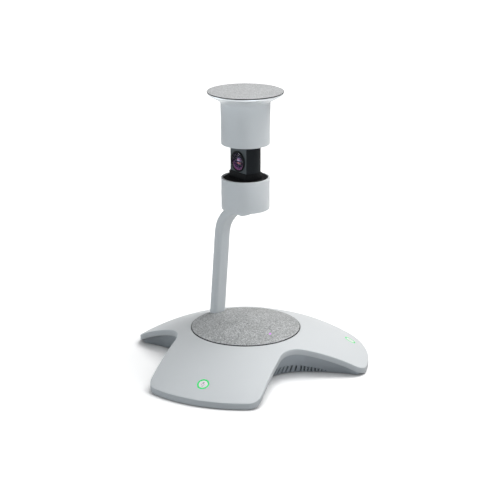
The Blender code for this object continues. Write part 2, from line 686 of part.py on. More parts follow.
def loudspeaker():
    """Driver in its box under a perforated plate, with the cloth stretched over the plate."""
    box_bottom = FOOT_BOTTOM
    inner = BOX_RADIUS - BOX_WALL
    turned("speaker_box", [(0, box_bottom + BOX_WALL), (inner, box_bottom + BOX_WALL), (inner, BOX_TOP),
                           (BOX_RADIUS, BOX_TOP), (BOX_RADIUS, box_bottom), (0, box_bottom)], BLACK_PLASTIC)
    seat = BOX_TOP + FIT
    flange_top = seat + DRIVER_FLANGE
    neck = seat - DRIVER_NECK_DROP
    throat = MAGNET_RADIUS - BOX_WALL
    turned("speaker_frame", [(BOX_RADIUS - FIT, flange_top), (BOX_RADIUS - FIT, seat),
                             (inner - BOX_WALL, seat), (MAGNET_RADIUS, neck), (throat / 2, neck),
                             (throat / 2, neck + DRIVER_FLANGE), (throat, neck + DRIVER_FLANGE),
                             (inner - 2 * BOX_WALL, flange_top)], STEEL, closed=True)
    disc("speaker_magnet", MAGNET_RADIUS, box_bottom + BOX_WALL + MAGNET_CLEARANCE, neck - FIT, STEEL)
    rim = flange_top + FIT
    low = rim - CONE_DEPTH
    lip = inner - 2 * BOX_WALL - FIT
    turned("speaker_cone", [(0, low + DUST_CAP_RISE), (DUST_CAP_SHOULDER[0], low + DUST_CAP_SHOULDER[1]),
                            (DUST_CAP_RADIUS, low + CONE_SKIN), (lip, rim + CONE_SKIN),
                            (CONE_RADIUS, rim + CONE_SKIN), (CONE_RADIUS, rim), (lip, rim),
                            (DUST_CAP_RADIUS, low), (0, low)], PAPER)
    lift = CLOTH_PROUD - CLOTH_HEIGHT
    radii = [CLOTH_RADIUS * i / CLOTH_RINGS for i in range(CLOTH_RINGS + 1)]
    top = [(r, dome_z(r) + lift - FIT) for r in radii]
    seat_radius = OPENING_RADIUS - FIT
    edge = [(CLOTH_RADIUS, dome_z(CLOTH_RADIUS) - RECESS_DEPTH + FIT),
            (seat_radius, dome_z(seat_radius) - RECESS_DEPTH + FIT)]
    under = [(r, dome_z(r) + lift - FIT - GRILLE_HEIGHT) for r in (seat_radius, seat_radius / 2, 0.0)]
    grille = turned("grille_plate", top + edge + under, BLACK_PLASTIC)
    holes = []
    for number, ring in enumerate(GRILLE_RINGS, 1):
        count = GRILLE_RING_COUNT * number
        holes += [Matrix.Translation(polar(ring, 2 * math.pi * k / count)) for k in range(count)]
    sound = drums("grille_holes", holes, GRILLE_HOLE_RADIUS, DOME_TOP / 2, 2 * DOME_TOP, GRILLE_HOLE_STEPS)
    boolean(grille, sound)
    cloth_top = [(r, dome_z(r) + CLOTH_PROUD) for r in radii]
    cloth_under = [(r, dome_z(r) + lift) for r in radii[::-1]]
    cloth = turned("base_fabric", cloth_top + cloth_under, CLOTH, CLOTH_STEPS)
    for piece in (grille, cloth):
        boolean(piece, POST_HOLE)
        boolean(piece, STATUS_HOLE)
    pipe_top = dome_z(STATUS_PLACE) + CLOTH_PROUD
    pipe = disc("status_light", STATUS_RADIUS, BOARD_TOP + FIT, pipe_top, MAGENTA_GUIDE, SMALL_STEPS)
    pipe.location = (0.0, -STATUS_PLACE, 0.0)


def mute_keys():
    """Key, light ring and switch board on each arm, square to the dome."""
    bore = RING_RADIUS - RING_WIDTH
    board_top = -HOLDER_DEPTH - FIT
    switch_top = board_top + SWITCH_HEIGHT
    stem_end = switch_top + KEY_TRAVEL + FIT
    board_radius = RING_RADIUS + HOLDER_WALL
    board_low = board_top - KEY_BOARD_HEIGHT
    for index, angle in enumerate(ARM_ANGLES, 1):
        frame = key_matrix(angle)
        ring = turned(f"light_ring_{index}",
                      [(RING_RADIUS, 0), (RING_RADIUS, board_top + FIT), (bore, board_top + FIT), (bore, 0)],
                      GREEN_GUIDE, KEY_STEPS, closed=True)
        key = turned(f"mute_key_{index}",
                     [(0, 0), (KEY_RADIUS, 0), (KEY_RADIUS, -KEY_HEIGHT), (KEY_STEM_RADIUS, -KEY_HEIGHT),
                      (KEY_STEM_RADIUS, stem_end), (0, stem_end)], KEY_PLASTIC, KEY_STEPS)
        board = turned(f"key_board_{index}",
                       [(0, switch_top), (SWITCH_RADIUS, switch_top), (SWITCH_RADIUS, board_top),
                        (board_radius, board_top), (board_radius, board_low), (0, board_low)],
                       BOARD, SMALL_STEPS)
        for piece in (ring, key, board):
            piece.matrix_world = frame


def lofted(name, section, path, material, collection=phone):
    """Skin a section along rows of (y, z, lean, width share, depth share) in the X = 0 plane."""
    shape = bmesh.new()
    rows = []
    for y, z, lean, wide, deep in path:
        down = deep * math.cos(lean)
        up = deep * math.sin(lean)
        rows.append([shape.verts.new((sx * wide, y + sy * down, z + sy * up)) for sx, sy in section])
    for lower, upper in zip(rows, rows[1:]):
        for i in range(len(section)):
            j = (i + 1) % len(section)
            shape.faces.new((lower[i], lower[j], upper[j], upper[i]))
    shape.faces.new(rows[0][::-1])
    shape.faces.new(rows[-1])
    mesh = bpy.data.meshes.new(name)
    shape.to_mesh(mesh)
    shape.free()
    return add_mesh_object(name, mesh, material, collection)


def post_path(start_z):
    """Rows of the post from its foot, round the bend, to the axis under the cup.

    The post gets shallower along the bend, down to its neck, while its outer side keeps the bend's radius.
    """
    bend_z = POST_TOP_LINE - POST_BEND * (1 - math.sin(POST_LEAN))
    centre = (post_line(bend_z) - POST_BEND * math.cos(POST_LEAN), POST_TOP_LINE - POST_BEND)
    path = [(post_line(start_z), start_z, POST_LEAN, 1.0, 1.0)]
    for i in range(BEND_STEPS + 1):
        angle = POST_LEAN + (math.pi / 2 - POST_LEAN) * i / BEND_STEPS
        way = max(angle - POST_NECK_START, 0.0) / (math.pi / 2 - POST_NECK_START)
        share = 1.0 + (POST_NECK - 1.0) * way * way * (3.0 - 2.0 * way)
        reach = POST_BEND + (1.0 - share) * POST_DEPTH / 2
        y = centre[0] + reach * math.cos(angle)
        path.append((y, centre[1] + reach * math.sin(angle), angle, 1.0, share))
    return path + [(FIT, POST_END_LINE, math.pi / 2, 1.0, POST_NECK)]


def post():
    """Hollow bent post with a rounded end, its foot in the base and the lead inside it."""
    path = post_path(POST_BOTTOM)
    for a in POST_END_ANGLES:
        y = -POST_NECK * POST_DEPTH / 2 * math.sin(a)
        path.append((y, POST_END_LINE, math.pi / 2, math.cos(a), POST_NECK * math.cos(a)))
    tube = lofted("post", rounded_rectangle(POST_WIDTH, POST_DEPTH, POST_CORNER), path, SHELL_PLASTIC)
    bore = rounded_rectangle(POST_WIDTH - 2 * POST_WALL, POST_DEPTH - 2 * POST_WALL, POST_CORNER - POST_WALL)
    bore_end = (-CABLE_RADIUS - 2 * FIT, POST_END_LINE, math.pi / 2, POST_NECK, POST_NECK)
    hollow = lofted("post_hollow", bore, post_path(FLOOR_BOTTOM) + [bore_end], None, cutters)
    for tool in (hollow, CABLE_CUT, CUP_SCREW_CUT):
        boolean(tube, tool)
    lead = [(y, z, lean, 1.0, 1.0) for y, z, lean, wide, deep in post_path(POST_BOTTOM + FIT)[:-1]]
    for i in range(CORNER_STEPS + 1):
        lean = math.pi / 2 * (1 - i / CORNER_STEPS)
        y = CABLE_TURN * (1 - math.cos(lean))
        z = POST_END_LINE + CABLE_TURN * (1 - math.sin(lean))
        lead.append((y, z, lean, 1.0, 1.0))
    lead.append((0.0, CUP_BOTTOM + BOARD_SEAT, 0.0, 1.0, 1.0))
    lofted("post_cable", circle(CABLE_RADIUS, SMALL_STEPS), lead, CABLE)


def post_foot():
    """Moulded socket on the ballast plate, with a flange and a screw on each side of the post."""
    centre = post_line(FOOT_BOTTOM)
    outer_width = POST_WIDTH + 2 * (POST_FOOT_WALL + FIT)
    outer_depth = POST_DEPTH + 2 * (POST_FOOT_WALL + FIT)
    outline = rounded_rectangle(outer_width, outer_depth, POST_CORNER + POST_FOOT_WALL)
    frame = Matrix.Translation((0.0, centre, FOOT_BOTTOM)) @ Matrix.Rotation(POST_LEAN, 4, "X")
    sink = FIT + math.sin(POST_LEAN) * outer_depth / 2
    foot = plate("post_foot", [outline], sink, POST_FOOT_HEIGHT, BLACK_PLASTIC, matrix=frame)
    half = POST_WIDTH / 2 + POST_FOOT_FLANGE
    flange = box("foot_flange", (-half, centre - outer_depth / 2, FOOT_BOTTOM),
                 (half, centre + outer_depth / 2, FOOT_BOTTOM + POST_FOOT_FLOOR), None, cutters)
    boolean(foot, flange, "UNION")
    well = plate("foot_well", [POST_CLEARANCE], POST_FOOT_FLOOR, 2 * POST_FOOT_HEIGHT, None, cutters, frame)
    boolean(foot, well)
    place = half - (half - outer_width / 2) / 2
    for index, side in enumerate((-1, 1), 1):
        hole = disc(f"foot_hole_{index}", SCREW_RADIUS + FIT, 0.0, POST_FOOT_HEIGHT, None, SMALL_STEPS,
                    cutters)
        hole.location = (side * place, centre, 0.0)
        boolean(foot, hole)
        head = FOOT_BOTTOM + POST_FOOT_FLOOR + FIT
        head_top = head + SCREW_HEAD_HEIGHT
        screw = turned(f"foot_screw_{index}",
                       [(0, head_top), (SMALL_HEAD_RADIUS, head_top), (SMALL_HEAD_RADIUS, head),
                        (SCREW_RADIUS, head), (SCREW_RADIUS, FOOT_BOTTOM), (0, FOOT_BOTTOM)],
                       STEEL, SMALL_STEPS)
        screw.location = (side * place, centre, 0.0)


def cup():
    """Turned cup under the camera, with its board, screw and black deck."""
    bottom = CUP_RADIUS - CUP_DRAFT
    inner = CUP_RADIUS - CUP_WALL
    deck_top = CUP_TOP - DECK_DROP
    deck_seat = deck_top - DECK_HEIGHT - FIT
    board_seat = CUP_BOTTOM + BOARD_SEAT
    middle = inner - DECK_STEP
    lower = middle - BOARD_STEP
    floor = CUP_BOTTOM + CUP_FLOOR
    edge = arc((bottom - CUP_EDGE, CUP_BOTTOM + CUP_EDGE), CUP_EDGE, 0.0, -math.pi / 2, CORNER_STEPS)
    shell = turned("cup_shell", [(CUP_RADIUS, CUP_TOP)] + edge
                   + [(CABLE_HOLE, CUP_BOTTOM), (CABLE_HOLE, floor), (lower, floor), (lower, board_seat),
                      (middle, board_seat), (middle, deck_seat), (inner, deck_seat), (inner, CUP_TOP)],
                   SHELL_PLASTIC, HEAD_STEPS, closed=True)
    boolean(shell, CUP_SCREW_CUT)
    head = floor + FIT
    tip = POST_TOP - POST_NECK * POST_WALL + FIT
    screw = turned("cup_screw", [(0, head + SCREW_HEAD_HEIGHT), (CUP_SCREW_HEAD, head + SCREW_HEAD_HEIGHT),
                                 (CUP_SCREW_HEAD, head), (CUP_SCREW_RADIUS, head), (CUP_SCREW_RADIUS, tip),
                                 (0, tip)], STEEL, SMALL_STEPS)
    screw.location = (0.0, CUP_SCREW_Y, 0.0)
    disc("head_board", middle - FIT, board_seat + FIT, board_seat + FIT + BOARD_HEIGHT, BOARD)
    hole = double_d(COLUMN_RADIUS + FIT, COLUMN_FLAT + FIT)
    plate("deck_plate", [circle(inner - FIT), hole], deck_seat + FIT, deck_top, BLACK_PLASTIC)
    plate("column_collar", [double_d(COLUMN_RADIUS + COLLAR_STEP, COLUMN_FLAT + COLLAR_STEP), hole],
          deck_top + FIT, COLLAR_TOP, BLACK_PLASTIC)
    return board_seat + FIT + BOARD_HEIGHT + FIT


def camera(column_bottom):
    """Hollow column with a sensor, barrel, glass and bezel behind each flat."""
    column = plate("camera_column", [double_d(COLUMN_RADIUS, COLUMN_FLAT)], column_bottom, COLUMN_TOP,
                   BLACK_PLASTIC)
    inner_radius = COLUMN_RADIUS - COLUMN_WALL
    hollow = plate("column_hollow", [double_d(inner_radius, COLUMN_FLAT - COLUMN_WALL)], 0.0,
                   COLUMN_TOP - COLUMN_WALL, None, cutters)
    boolean(column, hollow)
    across = Matrix.Translation((0.0, 0.0, LENS_Z)) @ Matrix.Rotation(math.pi / 2, 4, "Y")
    lens_hole = disc("lens_hole", LENS_RADIUS + FIT, -COLUMN_RADIUS, COLUMN_RADIUS, None, LENS_STEPS, cutters)
    lens_hole.matrix_world = across
    screw_hole = disc("stop_screw_hole", STOP_SCREW_RADIUS + FIT, LENS_Z, COLUMN_TOP + COLUMN_WALL, None,
                      SMALL_STEPS, cutters)
    for tool in (lens_hole, screw_hole):
        boolean(column, tool)
    seat = COLUMN_FLAT + FIT
    barrel_front = seat + FIT
    barrel_back = barrel_front - BARREL_LENGTH
    glass_back = barrel_front + FIT
    steps = [(radius, barrel_front - depth) for radius, depth in BARREL_STEPS]
    for index, side in enumerate((-1, 1), 1):
        frame = Matrix.Translation((0.0, 0.0, LENS_Z)) @ Matrix.Rotation(side * math.pi / 2, 4, "Y")
        barrel = turned(f"lens_barrel_{index}",
                        [(LENS_RADIUS, barrel_front), (LENS_RADIUS, barrel_back)] + steps[::-1],
                        BLACK_PLASTIC, LENS_STEPS, closed=True)
        bezel = turned(f"lens_bezel_{index}",
                       [(BEZEL_RADIUS - BEZEL_HEIGHT / 2, seat + BEZEL_HEIGHT),
                        (BEZEL_RADIUS, seat + BEZEL_HEIGHT / 2), (BEZEL_RADIUS, seat),
                        (LENS_RADIUS + FIT, seat), (LENS_RADIUS + FIT, seat + BEZEL_HEIGHT)],
                       BLACK_PLASTIC, LENS_STEPS, closed=True)
        crown = []
        for i in range(CROWN_RINGS + 1):
            share = i / CROWN_RINGS
            crown.append((LENS_RADIUS * share, glass_back + LENS_EDGE + LENS_CROWN * (1 - share ** 2)))
        glass = turned(f"lens_glass_{index}", crown + [(LENS_RADIUS, glass_back), (0, glass_back)], GLASS,
                       LENS_STEPS)
        sensor_front = barrel_back - FIT
        sensor = box(f"sensor_board_{index}",
                     (-SENSOR_TALL / 2, -SENSOR_WIDTH / 2, sensor_front - SENSOR_HEIGHT),
                     (SENSOR_TALL / 2, SENSOR_WIDTH / 2, sensor_front), BOARD)
        for piece in (barrel, bezel, glass):
            piece.matrix_world = frame
        sensor.matrix_world = frame @ sensor.matrix_world
    stop_outline = double_d(STOP_RADIUS, COLUMN_FLAT + COLLAR_STEP)
    plate("stop_plate", [stop_outline, circle(STOP_SCREW_RADIUS + FIT, SMALL_STEPS)],
          COLUMN_TOP + FIT, COLUMN_TOP + FIT + STOP_HEIGHT, STEEL)
    head = COLUMN_TOP + 2 * FIT + STOP_HEIGHT
    tip = COLUMN_TOP - 2 * COLUMN_WALL
    head_top = head + STOP_SCREW_RADIUS / 2
    turned("stop_screw", [(0, head_top), (STOP_SCREW_HEAD, head_top), (STOP_SCREW_HEAD, head),
                          (STOP_SCREW_RADIUS, head), (STOP_SCREW_RADIUS, tip), (0, tip)], STEEL, SMALL_STEPS)
    return glass_back + LENS_EDGE + LENS_CROWN


def privacy_cap(lens_tip):
    """Sleeve with a conical flange, the bush that slides on the column, and the cloth covered top."""
    bore = CAP_RADIUS - CAP_WALL
    lip_inner = FLANGE_RADIUS - FLANGE_LIP
    ledge = FLANGE_TOP - FIT - CAP_PLATE_HEIGHT
    ledge_inner = lip_inner - FLANGE_LEDGE
    turned("cap_sleeve", [(FLANGE_RADIUS, FLANGE_TOP), (FLANGE_RADIUS, FLANGE_EDGE + CAP_EDGE),
                          (FLANGE_RADIUS - 2 * CAP_EDGE, FLANGE_EDGE), (CAP_NECK_RADIUS, CAP_NECK),
                          (CAP_SHOULDER_RADIUS, CAP_SHOULDER), (CAP_RADIUS, CAP_BOTTOM + CAP_EDGE),
                          (CAP_RADIUS - CAP_EDGE, CAP_BOTTOM), (bore, CAP_BOTTOM),
                          (bore, CAP_NECK + CAP_WALL / 2), (ledge_inner, ledge), (lip_inner, ledge),
                          (lip_inner, FLANGE_TOP)],
           SHELL_PLASTIC, HEAD_STEPS, closed=True)
    bush_top = COLUMN_TOP - BUSH_DROP
    plate("cap_bush", [circle(bore - FIT), double_d(COLUMN_RADIUS + FIT, lens_tip + BUSH_LENS_GAP)],
          bush_top - BUSH_HEIGHT, bush_top, BLACK_PLASTIC)
    plate_bottom = ledge + FIT
    plate_top = plate_bottom + CAP_PLATE_HEIGHT
    disc("cap_grille", lip_inner - FIT, plate_bottom, plate_top, BLACK_PLASTIC)
    disc("cap_mic_board", MIC_BOARD_RADIUS, plate_bottom - FIT - MIC_BOARD_HEIGHT, plate_bottom - FIT, BOARD)
    cloth_bottom = plate_top + FIT
    cloth_top = cloth_bottom + CAP_CLOTH_HEIGHT
    turned("cap_fabric", [(0, cloth_top), (CAP_CLOTH_RADIUS - CAP_CLOTH_EDGE, cloth_top),
                          (CAP_CLOTH_RADIUS, cloth_top - CAP_CLOTH_EDGE), (CAP_CLOTH_RADIUS, cloth_bottom),
                          (0, cloth_bottom)], CLOTH, HEAD_STEPS)


top_shell()
lower_housing()
feet_and_screws()
ballast_and_board()
inlet()
loudspeaker()
mute_keys()
post()
post_foot()
privacy_cap(camera(cup()))
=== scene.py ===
"""Looks of a tabletop conference phone with a two-lens camera head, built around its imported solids."""
import math

import bmesh
import bpy
from mathutils import Matrix, Vector


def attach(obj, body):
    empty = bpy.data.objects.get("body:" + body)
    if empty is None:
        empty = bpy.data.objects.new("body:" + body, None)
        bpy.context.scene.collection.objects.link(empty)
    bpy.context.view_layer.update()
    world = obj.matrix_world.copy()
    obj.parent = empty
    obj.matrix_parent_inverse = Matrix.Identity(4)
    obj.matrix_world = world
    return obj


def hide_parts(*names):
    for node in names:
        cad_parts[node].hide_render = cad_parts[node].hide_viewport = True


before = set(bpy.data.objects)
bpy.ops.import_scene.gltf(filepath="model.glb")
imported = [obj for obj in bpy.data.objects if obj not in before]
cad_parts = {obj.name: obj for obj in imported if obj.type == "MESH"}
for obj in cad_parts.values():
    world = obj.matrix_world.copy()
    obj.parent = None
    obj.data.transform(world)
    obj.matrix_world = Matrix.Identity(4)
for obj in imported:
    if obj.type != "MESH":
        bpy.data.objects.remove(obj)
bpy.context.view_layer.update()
MM = 0.001

# Studio: the camera stands at the photograph's place, to the left of the front and a little above.
# Soft boxes overhead and on the right light the phone, cooler ones fill it; floor and background are white.
CAMERA_PLACE = Vector((-921.2, -1182.3, 607.9)) * MM
CAMERA_LOOK = Vector((0.5872, 0.7489, -0.3072))
CAMERA_LENS = 109.1
SENSOR = 36.0


class Field:
    """One socket of a node tree. Arithmetic on it adds Math nodes, and make() adds any other node."""

    def __init__(self, tree, socket=None):
        self.tree = tree
        self.socket = socket

    def make(self, kind, inputs=None, output=0, **settings):
        node = self.tree.nodes.new(kind)
        for name, value in settings.items():
            if name == "stops":
                for place, colour in value[1:-1]:
                    node.color_ramp.elements.new(place)
                for element, (place, colour) in zip(node.color_ramp.elements, value):
                    element.position = place
                    element.color = (*colour, 1.0)
            else:
                setattr(node, name, value)
        for name, value in (inputs or {}).items():
            if isinstance(value, (Field, list)):
                for part in value if isinstance(value, list) else [value]:
                    part.feed(node.inputs[name])
            else:
                node.inputs[name].default_value = value
        return None if output is None else Field(self.tree, node.outputs[output])

    def feed(self, target):
        self.tree.links.new(self.socket, target)

    def maths(self, operation, first, second=0.0):
        return self.make("ShaderNodeMath", {0: first, 1: second}, operation=operation)

    def __add__(self, other):
        return self.maths("ADD", self, other)

    def __sub__(self, other):
        return self.maths("SUBTRACT", self, other)

    def __rsub__(self, other):
        return self.maths("SUBTRACT", other, self)

    def __mul__(self, other):
        return self.maths("MULTIPLY", self, other)

    __radd__ = __add__
    __rmul__ = __mul__

    def mix(self, low, high):
        """Mix two colours, plain or from a field, by this value."""
        pair = [colour if isinstance(colour, Field) else (*colour, 1.0) for colour in (low, high)]
        return self.make("ShaderNodeMix", {0: self, 6: pair[0], 7: pair[1]}, 2, data_type="RGBA")

    def noise(self, scale, detail):
        return self.make("ShaderNodeTexNoise", {"Vector": self, "Scale": scale, "Detail": detail})

    def length(self):
        return self.make("ShaderNodeVectorMath", {0: self}, "Value", operation="LENGTH")

    def span(self, start, end, low, high):
        """Rise from low to high, while this value goes from start to end."""
        return self.make("ShaderNodeMapRange", {
            "Value": self, "From Min": start, "From Max": end, "To Min": low, "To Max": high})

    def clamp(self):
        return self.make("ShaderNodeClamp", {"Value": self})

    def bump(self, strength, distance):
        return self.make("ShaderNodeBump", {"Strength": strength, "Distance": distance, "Height": self})


def begin(name, values):
    """Start a finish with its plain values: the material, its shader's inputs and the piece's coordinates."""
    material = bpy.data.materials.new(name)
    material.use_nodes = True
    inputs = material.node_tree.nodes["Principled BSDF"].inputs
    for label, value in values.items():
        inputs[label].default_value = value
    return material, inputs, Field(material.node_tree).make("ShaderNodeTexCoord", output="Object")


def studio_rays(field):
    """One for the rays that show the studio itself: straight, mirrored or through glass."""
    straight, mirrored, through = [field.make("ShaderNodeLightPath", output=f"Is {kind} Ray")
                                   for kind in ("Camera", "Glossy", "Transmission")]
    return field.maths("MINIMUM", straight + mirrored + through, 1.0)


def add(name, data):
    """Put an object of this data into the scene."""
    thing = bpy.data.objects.new(name, data)
    bpy.context.scene.collection.objects.link(thing)
    return thing


def add_points(name, points, faces=()):
    mesh = bpy.data.meshes.new(name)
    mesh.from_pydata(points, [], faces)
    return add(name, mesh)


camera = add("photo_camera", bpy.data.cameras.new("photo_camera"))
camera.location = CAMERA_PLACE
camera.rotation_euler = CAMERA_LOOK.to_track_quat("-Z", "Y").to_euler()
camera.data.sensor_width = SENSOR
camera.data.lens = CAMERA_LENS
bpy.context.scene.camera = camera
bpy.context.scene.view_settings.view_transform = "Standard"

# Each lamp has its place along these directions and its size in metres, its power in watts and its tint.
TO_RIGHT = Vector((0.787, -0.617, 0.0))
TO_CAMERA = Vector((-0.617, -0.787, 0.0))
UP = Vector((0.0, 0.0, 1.0))
WHITE_LIGHT = (1.0, 1.0, 1.0)
COOL_LIGHT = (0.86, 0.94, 1.0)
LAMPS = {
    "overhead_box": (UP * 1.55 + TO_RIGHT * 0.5 - TO_CAMERA * 0.15, 1.0, 22.6, WHITE_LIGHT),
    "right_box": (UP * 1.15 + TO_RIGHT * 1.1 + TO_CAMERA * 0.4, 0.8, 3.5, WHITE_LIGHT),
    "left_box": (UP * 0.22 - TO_RIGHT * 1.5, 0.5, 6.0, COOL_LIGHT),
    "left_front_box": (UP * 0.25 - TO_RIGHT * 1.1 + TO_CAMERA * 1.1, 0.5, 1.0, COOL_LIGHT),
    "front_box": (UP * 0.3 + TO_RIGHT * 0.5 + TO_CAMERA * 1.5, 0.5, 6.6, COOL_LIGHT),
}
AIM = UP * 0.1
for lamp_name, (lamp_place, lamp_size, lamp_power, lamp_tint) in LAMPS.items():
    lamp = add(lamp_name, bpy.data.lights.new(lamp_name, "AREA"))
    lamp.data.size = lamp_size
    lamp.data.energy = lamp_power
    lamp.data.color = lamp_tint
    lamp.location = lamp_place
    lamp.rotation_euler = (AIM - lamp_place).to_track_quat("-Z", "Y").to_euler()

AMBIENT = 0.03
world = bpy.data.worlds.new("white_studio")
world.use_nodes = True
bpy.context.scene.world = world
sky = world.node_tree.nodes["Background"].inputs
(studio_rays(Field(world.node_tree)) * (1.0 - AMBIENT) + AMBIENT).feed(sky["Strength"])
sky["Color"].default_value = (*WHITE_LIGHT, 1.0)

# The floor glows for the rays that show it, less so close under the phone, and throws little light back.
# Ambient occlusion dims the glow right at the phone: a painted contact shadow.
FLOOR_HALF = 6.0
FLOOR_ROUGH = 0.9
FLOOR_NEAR_TONE = 0.2
FLOOR_SEEN_TONE = 0.85
FLOOR_FAR_TONE = 0.8
FLOOR_LIFT = 0.42
FLOOR_FAR_LIFT = 1.0
FLOOR_NEAR = 0.17
FLOOR_EASE = 0.35
FLOOR_FAR = 0.9
FLOOR_CONTACT = 14 * MM
floor_corners = [(sx * FLOOR_HALF, sy * FLOOR_HALF, 0.0) for sx, sy in ((-1, -1), (1, -1), (1, 1), (-1, 1))]
floor = add_points("studio_floor", floor_corners, [range(len(floor_corners))])
floor_plain = {"Roughness": FLOOR_ROUGH, "Specular IOR Level": 0.0, "Emission Color": (*WHITE_LIGHT, 1.0)}
floor_paint, floor_inputs, floor_spot = begin("floor_paint", floor_plain)
floor_away = floor_spot.length()
floor_glow = floor_away.span(FLOOR_NEAR, FLOOR_FAR, FLOOR_LIFT, FLOOR_FAR_LIFT)
floor_tone = floor_away.span(FLOOR_NEAR, FLOOR_EASE, FLOOR_NEAR_TONE, FLOOR_FAR_TONE)
floor_seen = studio_rays(floor_spot)
((1.0 - floor_seen) * floor_tone + floor_seen * FLOOR_SEEN_TONE).feed(floor_inputs["Base Color"])
# Painted contact shadow: ambient occlusion dims the floor's glow close under the phone.
contact_shade_paint = floor_spot.make("ShaderNodeAmbientOcclusion", {"Distance": FLOOR_CONTACT}, "AO")
(floor_seen * floor_glow * contact_shade_paint).feed(floor_inputs["Emission Strength"])
floor.data.materials.append(floor_paint)

# Lower housing: an undercut tray of grey moulded plastic, tucked into the cover's rim and screwed from below.
# Its walls between the arms are combed with upright vent slots, and the rear arm has the inlet's window.
FIT = 0.3 * MM
BASE_RADIUS = 130.0 * MM
DOME_RADIUS = 235.0 * MM
DOME_TOP = 46.7 * MM
RIM_HEIGHT = 6.4 * MM
COVER_WALL = 3.2 * MM
NOTCH_APEX = 72.6 * MM
NOTCH_FILLET = 30.0 * MM
NOTCH_SLOPE = math.radians(31.3)
ARM_CORNER = 15.0 * MM
ARM_ANGLES = [math.radians(angle) for angle in (90, 210, 330)]
NOTCH_ANGLES = [math.radians(angle) for angle in (150, 270, 30)]
NOTCH_HALF = math.radians(60)
ARM_MIDDLE = math.radians(30)
FILLET_STEPS = 10
SIDE_STEPS = 16
CORNER_STEPS = 8
END_STEPS = 14
TRAY_BOTTOM = 1.0 * MM
TRAY_WALL = 2.0 * MM
TRAY_TONGUE = 3.0 * MM
TRAY_EDGE = 0.8 * MM
UNDERCUT_RATE = 0.98
UNDERCUT_EASE = 9.8
SLOT_PITCH = 3.1 * MM
SLOT_WIDTH = 1.8 * MM
SLOT_BOTTOM = 2.0 * MM
SLOT_SIDE_COUNT = 12
SLOT_SHARE = 0.8
SLOT_LEAST = 1.7 * MM
SLOT_OVERCUT = 5.0 * MM
PORT_Y = 78.0 * MM
PORT_WINDOW = Vector((26.0, 14.0, 8.0)) * MM
PORT_WINDOW_CENTRE = Vector((52.0, 78.0, 11.5)) * MM
TRAY_GREY = (0.52, 0.55, 0.58)
QUARTER = math.pi / 2


def spread(start, end, steps):
    """Values from start to end in even steps, both ends among them."""
    return [start + (end - start) * i / steps for i in range(steps + 1)]


def heading(angle):
    return Vector((math.cos(angle), math.sin(angle)))


def dome_z(radius):
    return DOME_TOP - DOME_RADIUS + math.sqrt(DOME_RADIUS ** 2 - radius ** 2)


def arm_outline():
    """Plan outline of the three arms as (point, outward normal) pairs, counter-clockwise."""
    along = heading(NOTCH_SLOPE)
    inward = heading(NOTCH_SLOPE - QUARTER)
    fillet_centre = Vector((0.0, NOTCH_APEX + NOTCH_FILLET))
    side_start = fillet_centre + inward * NOTCH_FILLET
    corner_line = side_start + inward * ARM_CORNER
    lean = corner_line.dot(along)
    reach = math.sqrt(lean ** 2 - corner_line.length_squared + (BASE_RADIUS - ARM_CORNER) ** 2) - lean
    corner_centre = corner_line + along * reach
    side_end = corner_centre - inward * ARM_CORNER
    end_angle = math.atan2(corner_centre.y, corner_centre.x)
    corner_start = QUARTER + NOTCH_SLOPE
    half = []
    for turn in spread(QUARTER, corner_start, FILLET_STEPS)[:-1]:
        half.append((fillet_centre - heading(turn) * NOTCH_FILLET, heading(turn)))
    for share in spread(0.0, 1.0, SIDE_STEPS)[:-1]:
        half.append((side_start.lerp(side_end, share), -inward))
    for turn in spread(corner_start, end_angle, CORNER_STEPS)[:-1]:
        half.append((corner_centre + heading(turn) * ARM_CORNER, heading(turn)))
    for turn in spread(end_angle, ARM_MIDDLE, END_STEPS):
        half.append((heading(turn) * BASE_RADIUS, heading(turn)))
    mirrored_half = [(Vector((-p.x, p.y)), Vector((-n.x, n.y))) for p, n in half[:0:-1]]
    outline = []
    for angle in NOTCH_ANGLES:
        turn = Matrix.Rotation(angle - QUARTER, 2)
        outline += [(turn @ p, turn @ n) for p, n in (mirrored_half + half)[:0:-1]]
    return outline


OUTLINE = arm_outline()


def rim_bottom(point):
    return dome_z(point.length) - RIM_HEIGHT


def undercut(height):
    return UNDERCUT_RATE * height - UNDERCUT_EASE * height ** 2


def loft(loops, closed=False):
    """Skin loops of points that run counter-clockwise, from the top down; close it round or cap both ends."""
    shape = bmesh.new()
    rows = [[shape.verts.new(point) for point in loop] for loop in loops]
    pairs = list(zip(rows, rows[1:]))
    if closed:
        pairs.append((rows[-1], rows[0]))
    else:
        shape.faces.new(rows[0])
        shape.faces.new(rows[-1][::-1])
    for upper, lower in pairs:
        for i in range(len(upper)):
            j = (i + 1) % len(upper)
            shape.faces.new((upper[i], lower[i], lower[j], upper[j]))
    return shape


def block(centre, size, turn=0.0):
    """Box of this size about a centre, turned about Z."""
    shape = bmesh.new()
    spot = Matrix.Translation(centre) @ Matrix.Rotation(turn, 4, "Z") @ Matrix.Diagonal((*size, 1.0))
    bmesh.ops.create_cube(shape, size=1.0, matrix=spot)
    return shape


SHARP = math.radians(32)


def shade(mesh):
    mesh.shade_smooth()
    mesh.set_sharp_from_angle(angle=SHARP)


def show(name, shape, material=None, matrix=Matrix()):
    """Make an object of a shape, its place in its mesh, shaded smooth with crisp edges."""
    bmesh.ops.recalc_face_normals(shape, faces=shape.faces[:])
    mesh = bpy.data.meshes.new(name)
    shape.to_mesh(mesh)
    shape.free()
    mesh.transform(matrix)
    if material:
        mesh.materials.append(material)
    shade(mesh)
    return add(name, mesh)


def settle(thing):
    """Turn what the modifiers give into the piece's plain mesh."""
    bpy.context.view_layer.update()
    evaluated = thing.evaluated_get(bpy.context.evaluated_depsgraph_get())
    mesh = bpy.data.meshes.new_from_object(evaluated)
    thing.modifiers.clear()
    thing.data = mesh
    shade(mesh)


